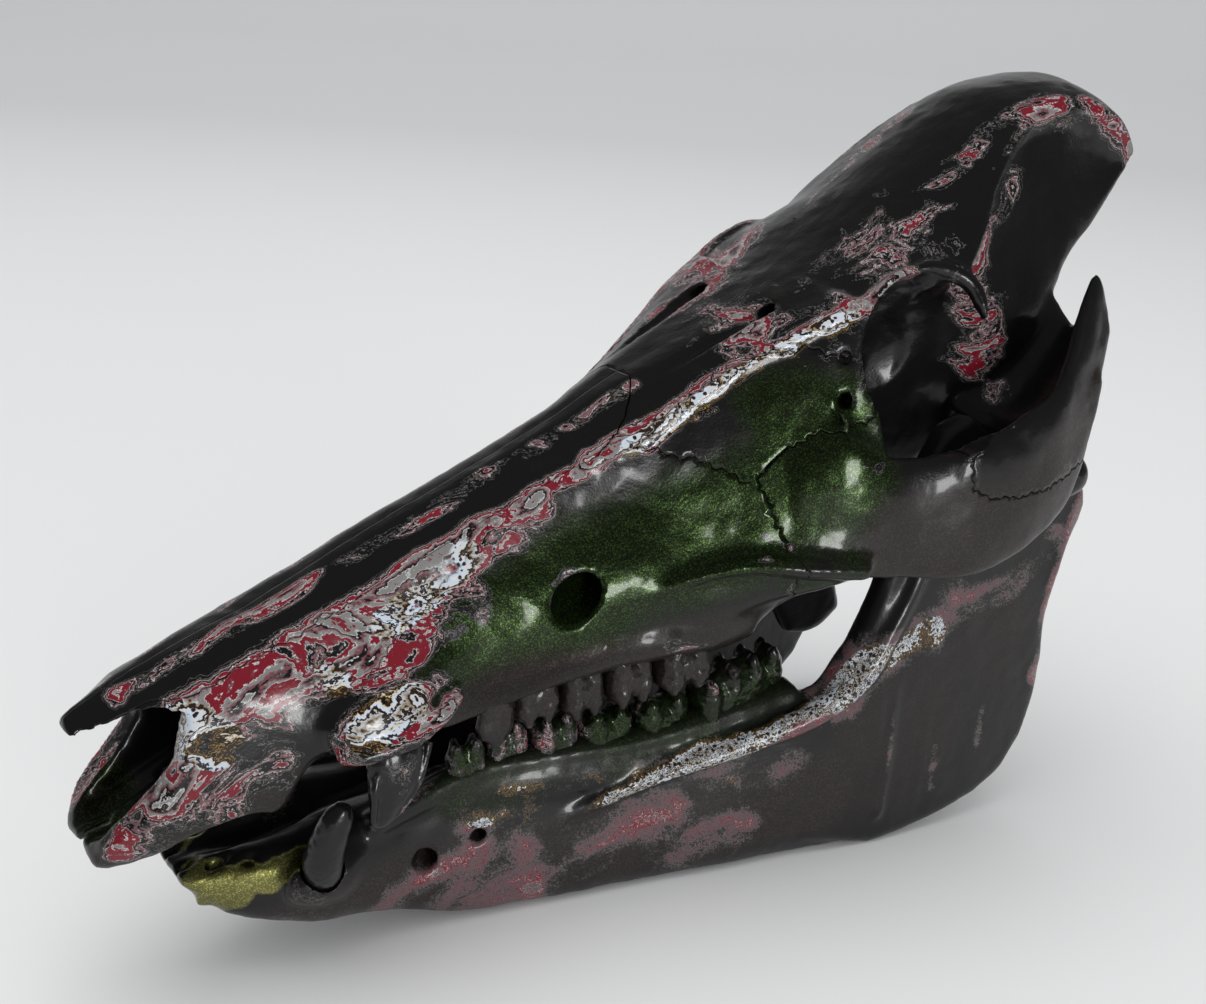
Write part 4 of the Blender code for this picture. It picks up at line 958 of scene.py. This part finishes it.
def lower_tooth_ridge():
    """The ridge of bone that the left lower cheek teeth stand in."""
    return limb("lower_tooth_ridge", [(90, -15.5, 46.6, 7.5, 4.4), (105, -16.6, 46.2, 7.5, 5),
        (120, -19, 45.4, 7.5, 6), (135, -21.2, 44, 7.5, 7), (150, -23.8, 43, 7.5, 7.6),
        (165, -26.5, 44, 7.5, 8), (180, -29, 45.6, 7.5, 8.2), (197, -33, 47.5, 7, 7)], points=14)


def lower_jaw_plate():
    """The left rear plate of the lower jaw, with its rounded angle and its upper process."""
    outline = [(196, 6), (198, 48), (207, 58), (214, 67), (221, 81), (229, 102), (236, 119), (243, 128.5),
        (251, 130.5), (257, 126), (262, 114), (268, 107.5), (280, 105), (294, 106), (300, 99),
        (298.5, 89), (290.5, 78), (287, 62), (286.5, 46), (284.5, 32), (280, 18), (273, 8.5), (262, 3),
        (248, 0), (234, -1.6), (221, -2)]

    def lie(x, z):
        side = through([(196, 38.6), (210, 41.2), (222, 43.6), (250, 47), (280, 50), (300, 51.5)], x)
        return 0.03 * max(z - 30, 0) - side

    return slab("jaw_plate", outline, lie, 8.5, 2.6)


def lower_jaw_knobs():
    """The left joint head across the top of the rear plate, and the bulge of the canine's socket."""
    return [knob("jaw_joint", (286, -48.5, 107), (9, 12.5, 8.5), (0, -10, 8)),
            knob("canine_socket", (56, -18, 40), (12.5, 7, 7.6), (0, 0, 12))]


CHIN_LUMPS = 22


def jaw_relief():
    """The left jaw's relief: slanting line, rear edge, muscle ridges, gum line and lumps of the chin."""
    made = [
        limb("slanting_line", [(118, -22, 32, 2, 2), (150, -32.2, 41, 2.5, 3), (175, -38.5, 45, 3, 3.6),
            (198, -44, 50, 3.4, 4), (214, -46.5, 58, 3.4, 3.6), (226, -47.5, 74, 3, 3),
            (238, -48.5, 96, 2.4, 2.4)], points=14),
        limb("rear_edge", [(297, -52, 96, 2.6, 2.2), (289, -52, 78, 2.6, 2.4), (285, -51, 58, 2.6, 2.4),
            (283, -50, 38, 2.6, 2.6), (276, -48, 18, 2.6, 2.6), (262, -46, 8, 2.2, 2.6)], points=12),
    ]
    for x, top, depth in ((222, 52, 5), (236, 50, 4), (250, 54, 2), (264, 50, 3)):
        made.append(limb("muscle_ridge", [(x, -47.6 - (x - 222) * 0.06, depth + 3, 1.4, 1.6),
            (x + 3, -47.8 - (x - 222) * 0.06, (top + depth) / 2, 1.2, 1.8),
            (x + 5, -47.4 - (x - 222) * 0.06, top, 0.8, 1.2)], points=10))
    made.append(limb("gum_line", [(68, -18, 48.5, 3.6, 3), (84, -16.5, 50, 4, 3.6),
        (100, -16.6, 52.4, 3.6, 3.6), (125, -19.6, 51.4, 3.6, 5), (150, -23.8, 49.8, 3.8, 6),
        (175, -28, 51.6, 3.8, 6.6), (198, -33, 54, 3, 5)]))
    for i in range(CHIN_LUMPS):
        x, z = 27 + 5.3 * i % 18, 37.5 + 3.7 * i % 7.5
        y = -through([(22, 5), (34, 11.5), (45, 15.5)], x) * (1 - ((z - 41) / 16) ** 2)
        made.append(knob("chin_lump", (x, y, z), (2.2, 2.4, 1.7), segments=12))
    return made


def jaw_holes():
    """The left jaw's openings: empty front sockets, the chin nerve's holes and the trough behind the chin."""
    made = [knob("chin_trough", (44, 0, 60), (27, 9, 16))]
    for x, y, z, r in ((26.5, -4, 50, 1.9), (33, -8, 50, 2.1), (41, -12, 51.5, 2.2)):
        made.append(knob("tooth_socket", (x, y, z), (r + 1, r, 7), (0, 38, 0)))
    for x, y, z, r in ((84.3, -18.5, 32.7, 3.1), (98.6, -21.5, 35.2, 2.1), (112, -24, 35, 0.9)):
        made.append(limb("chin_nerve", [(x - 3.5, y - 3.5, z + 0.8, r, r * 1.25),
            (x, y + 1, z, r * 0.95, r * 1.05),
            (x + 5, y + 5, z - 1, r * 0.5, r * 0.5)], UPRIGHT, points=14))
    return made


JAW_FIRST_VOXEL = 1.0
JAW_VOXEL = 1.03
pieces = both_of([lower_jaw_bar(), lower_tooth_ridge(), lower_jaw_plate(), *lower_jaw_knobs(),
                  *jaw_relief()])
jaw = fused("lower_jaw", pieces, JAW_FIRST_VOXEL, 6)
combine(jaw, both_of(jaw_holes()), "DIFFERENCE")
jaw = fused("lower_jaw", [jaw], JAW_VOXEL, 2)
weathered(jaw, [(26, 0.8), (9, 0.4), (3.5, 0.16)])


SOCKET_GAP = 0.6


def lower_canine(grow=0.0):
    """The left lower canine, a short blunt peg that curves up and back."""
    stops = [(57.5, -14.5, 34 - grow, 3.6, 3.4), (54.5, -19.2, 39, 4.6, 4), (53, -23.6, 47.5, 5.2, 4.4),
             (54.6, -25.4, 55, 4.6, 4), (57, -26.4, 60.5, 3.8, 3.4), (58.4, -27, 63.6, 2, 1.9)]
    return limb("lower_canine", [(x, y, z, h + grow, w + grow) for x, y, z, h, w in stops], points=28)


combine(jaw, both_of([lower_canine(SOCKET_GAP)]), "DIFFERENCE")


JAW_COATS = {
    "rubbed": [
        (0.56, 6, [(124, 28, 33), (160, 36, 42), (198, 45, 51), (222, 50, 66)]),
        (0.54, 11, [(205, 46, 52), (222, 50, 62), (242, 51, 72)]),
        (0.44, 13, [(50, 21, 25), (80, 21, 22), (120, 27, 22), (170, 37, 22)]),
        (0.5, 8, [(110, 26, 30), (150, 33, 32), (190, 42, 34)]),
        (0.52, 8, [(96, 24, 44), (140, 31, 42)]),
        (0.5, 6, [(240, 51, 70), (268, 54, 74), (286, 53, 84)]),
        (0.54, 4, [(283, 53, 40), (290, 54, 76), (298, 55, 96)]),
        (0.56, 2.2, [(226, 51, 54), (224, 51, 10)]),
        (0.56, 2.2, [(244, 53, 50), (242, 53, 12)]),
        (0.52, 2.2, [(262, 54, 48), (260, 54, 20)]),
    ],
    "pale": [
        (0.7, 5, [(150, 34, 40), (205, 46, 55), (216, 49, 62), (240, 51, 66)]),
        (0.9, 6, [(100, 24, 44), (140, 31, 41)]),
    ],
    "green": [(0.5, 9, [(90, 22, 50), (150, 30, 48), (200, 42, 60)])],
    "plum": [
        (1.0, 14, [(50, 20, 26), (110, 25, 22), (200, 44, 22)]),
        (0.6, 22, [(222, 50, 30), (262, 54, 60)]),
    ],
    "gilt": [(1.0, 7, [(27, 6, 41.5), (34, 10, 40.5)]),
             (0.85, 5, [(34, 10, 43), (42, 13.5, 42), (50, 16, 44)])],
}
JAW_LAYERS = [(0.4, BROWN), (0.405, ASH), (0.42, BROWN), (0.445, BROWN), (0.45, ASH), (0.47, PLUM),
    (0.5, PLUM), (0.505, ROSE), (0.53, ROSE), (0.535, SLATE), (0.58, SLATE), (0.585, ROSE),
    (0.61, CRIMSON), (0.65, CRIMSON), (0.655, WHITE), (0.67, ROSE), (0.72, SLATE), (0.8, ASH),
    (0.81, ROSE), (1.0, ASH)]
jaw_lacquer = lacquer("lacquered_jaw", 0.3, 0.42, JAW_LAYERS)
lacquered(jaw, JAW_COATS, jaw_lacquer, 0.5)
table_top = bmesh.new()
bmesh.ops.create_cube(table_top, size=0.6, matrix=Matrix.Translation((0, 0, -0.3)))
combine(jaw, [new_object("table_top", table_top)], "DIFFERENCE")
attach(jaw, "root")
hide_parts("mandible")

# The cheek teeth, five a side above and six below, set close in each row. A tooth is one to three
# waisted lobes with paired blunt cusps, fused and coated like the bone, and rooted in its row.


UPPER_ROOTS = 78.5
LOWER_ROOTS = 44
TOOTH_VOXEL = 0.45
# Each tooth as (front x, length, row y, width, crown z, lobes).
UPPER_ROW = [(99, 11, -22.3, 5, 62.8, 1), (110.5, 13, -22.5, 7, 65.3, 2), (124, 12.5, -24, 9, 64, 2),
    (137, 14, -26, 11, 64.6, 2), (151.5, 17, -28.8, 12.4, 65.4, 2)]
LOWER_ROW = [(92.5, 11.5, -16.4, 5.6, 62.8, 2), (105, 12, -16.4, 6.2, 63.6, 2),
    (118, 13.5, -18.8, 8.2, 63, 2), (132, 16, -20.8, 10.2, 61.4, 2), (148.5, 17.5, -23, 11.5, 61, 2),
    (166.5, 31, -27, 13, 66.8, 4)]


def cheek_tooth(name, front, length, y, width, crown, lobes, root):
    """One cheek tooth: lobes side by side, each a column that swells and ends in two cusps."""
    up = 1 if crown > root else -1
    pitch = (length - 0.5) / lobes
    made = []
    for i in range(lobes):
        x = front + pitch * (i + 0.5)
        lean = y - 0.02 * (x - front)
        taper = 1 - 0.18 * (i / max(lobes - 1, 1)) if lobes > 2 else 1
        wide, long = width / 2 * taper, pitch / 2
        top = crown + (5.5 * min(1.0, (x - front) / 14) - 5 if lobes > 2 else 0)
        stops = [(0, 0.9, 0.9), (0.45, 0.98, 0.94), (0.66, 1.08, 1.0), (0.8, 1.02, 0.96),
            (0.92, 0.62, 0.7), (1.0, 0.16, 0.5)]
        made.append(drawn_up("lobe", [ellipse_ring((x, lean, root + up * abs(top - root) * t),
                                                   (long * s, 0, 0), (0, wide * w, 0), 24, 2.2)
                                      for t, s, w in stops]))
        for side in (-1, 1):
            tip = (x + 0.5 * side, lean + side * wide * 0.62, top - up * 2.6)
            made.append(knob("cusp", tip, (long * 0.5, wide * 0.34, 3.2)))
    middle = (front + length / 2, y - 0.01 * length, (root + crown) / 2 - up * 0.6)
    made.append(knob("tooth_body", middle, (length * 0.5, width * 0.48, abs(crown - root) * 0.46)))
    tooth = fused(name, made, TOOTH_VOXEL, 3)
    return weathered(tooth, [(4.0, 0.9), (1.4, 0.3)])


def row_of_teeth(name, rows, root):
    bm = bmesh.new()
    for sizes in rows:
        tooth = cheek_tooth("tooth", *sizes, root)
        bm.from_mesh(tooth.data)
        discard([tooth])
    left = new_object(name + "_left", bm)
    right = copy_mirrored(left)
    right.name = name + "_right"
    return [left, right]


TOOTH_COATS = {
    "rubbed": [(0.3, 6, [(94, 17, 58), (150, 24, 58)])],
    "pale": [],
    "green": [(0.8, 9, [(95, 18, 54), (150, 24, 54), (204, 29, 56)])],
    "plum": [(1.0, 9, [(100, 22, 74), (176, 32, 74)])],
    "gilt": [],
}
tooth_lacquer = lacquer("lacquered_teeth", 0.24, 0.1, RUBBED_THROUGH)
for name, rows, root, node in (("upper_cheek_teeth", UPPER_ROW, UPPER_ROOTS, "cranium"),
                               ("lower_cheek_teeth", LOWER_ROW, LOWER_ROOTS, "mandible")):
    for teeth in row_of_teeth(name, rows, root):
        lacquered(teeth, TOOTH_COATS, tooth_lacquer, 1.2)
        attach(teeth, "root")
        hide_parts(node)

# The canines: a flattened cone a side above, a curved blunt peg a side below. Each is set in the
# bone's socket, the lower one with a thin gap all round, and is coated like the other teeth.


def upper_canine():
    """The left upper canine, a flattened cone that points down and a little forward."""
    stops = [(76, -21.5, 86, 5.4, 3.6), (74.6, -25.4, 80.5, 7.6, 4.4), (72.4, -29.4, 74.5, 8.6, 4.6),
             (70, -31, 67, 7.2, 3.8), (67, -31, 60.5, 4.2, 2.6), (65.6, -30.8, 57, 1.6, 1.3)]
    return limb("upper_canine", stops, points=28, power=1.7)


def canine_rims():
    """The sharp front and rear edges of the left upper canine."""
    return [
        limb("front_rim", [(66.5, -31, 75, 1.2, 1.2), (63.8, -33, 67, 1.1, 1.1),
            (63.2, -32.6, 60, 0.9, 0.9), (65.2, -31.4, 57, 0.6, 0.6)]),
        limb("rear_rim", [(80, -31.5, 76, 1.2, 1.2), (76, -33.2, 68, 1.1, 1.1),
            (70.4, -32.6, 60.5, 0.9, 0.9), (66.4, -31.4, 57, 0.6, 0.6)]),
    ]


CANINE_VOXEL = 0.4
CANINE_COATS = {**TOOTH_COATS, "rubbed": [(0.45, 5, [(68, 30, 58), (72, 30, 72)])]}
for name, make in (("upper", upper_canine), ("lower", lower_canine)):
    for side in ("left", "right"):
        shapes = [make()] + (canine_rims() if name == "upper" else [])
        if side == "right":
            left_shapes = shapes
            shapes = [copy_mirrored(shape) for shape in left_shapes]
            discard(left_shapes)
        canine = fused(name + "_canine_" + side, shapes, CANINE_VOXEL, 3)
        weathered(canine, [(5, 0.5), (1.4, 0.14)])
        lacquered(canine, CANINE_COATS, tooth_lacquer, 1.2)
        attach(canine, "root")
        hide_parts("canine_" + name + "_" + side)

# The table, the lamps and the camera: a pale sheet that sweeps up behind, wide soft lamps above and
# to the left, and the view from the skull's left front.

table_mesh = bmesh.new()
near = [table_mesh.verts.new((x, -2.5, 0)) for x in (-3.5, 3.5)]
edge = table_mesh.edges.new(near)
for dy, dz in ((5, 0), (1, 0.12), (0.9, 0.45), (0.6, 0.8), (0.2, 2.2)):
    made = bmesh.ops.extrude_edge_only(table_mesh, edges=[edge])["geom"]
    moved = [v for v in made if isinstance(v, bmesh.types.BMVert)]
    bmesh.ops.translate(table_mesh, verts=moved, vec=(0, dy, dz))
    edge = [e for e in made if isinstance(e, bmesh.types.BMEdge) and all(v in made for v in e.verts)][0]
bmesh.ops.rotate(table_mesh, cent=(0, 0, 0), verts=table_mesh.verts,
                 matrix=Matrix.Rotation(math.radians(-36), 3, "Z"))
table = new_object("table_sheet", table_mesh)
table.data.shade_smooth()
paper = bpy.data.materials.new("pale_sheet")
paper.use_nodes = True
sheet = paper.node_tree.nodes["Principled BSDF"].inputs
sheet["Base Color"].default_value = (0.72, 0.72, 0.715, 1)
sheet["Roughness"].default_value = 0.75
table.data.materials.append(paper)


def lamp(name, place, aim, size, power):
    """A soft rectangular lamp that faces the point it is aimed at."""
    data = bpy.data.lights.new(name, "AREA")
    data.shape = "RECTANGLE"
    data.size, data.size_y = size
    data.energy = power
    obj = bpy.data.objects.new(name, data)
    bpy.context.scene.collection.objects.link(obj)
    obj.location = place
    obj.rotation_euler = (Vector(aim) - Vector(place)).to_track_quat("-Z", "Y").to_euler()
    return obj


lamp("top_lamp", (-0.3, 0.2, 2.2), (0, 0.1, 0), (2.2, 2.2), 26).visible_glossy = False
lamp("window_lamp", (-0.1, -1.5, 0.22), (0, 0, 0.1), (0.4, 0.3), 9)
world = bpy.data.worlds.new("studio")
world.use_nodes = True
sky = world.node_tree.nodes["Background"]
sky.inputs[0].default_value = (0.87, 0.88, 0.9, 1)
gloss = put(world.node_tree, "LightPath").outputs["Is Glossy Ray"]
strength = put(world.node_tree, "MapRange", {"Value": gloss, "To Min": 0.85, "To Max": 0.12}).outputs[0]
world.node_tree.links.new(strength, sky.inputs[1])
bpy.context.scene.world = world

# The camera's lens and sensor width, its place in the skull's millimetres, and its right, up and back.
LENS, SENSOR = 43.41, 36
CAMERA_PLACE = Vector((-61.76, -311.53, 261.22))
CAMERA_AXES = ((0.8192, -0.5735, -0.0091), (0.2172, 0.2955, 0.9303), (-0.5309, -0.7641, 0.3666))
camera_data = bpy.data.cameras.new("camera")
camera_data.lens = LENS
camera_data.sensor_width = SENSOR
camera = bpy.data.objects.new("camera", camera_data)
bpy.context.scene.collection.objects.link(camera)
turn = STAND.to_3x3().normalized() @ Matrix(CAMERA_AXES).transposed()
camera.matrix_world = Matrix.Translation(STAND @ CAMERA_PLACE) @ turn.to_4x4()
bpy.context.scene.camera = camera
bpy.context.scene.view_settings.view_transform = "Standard"
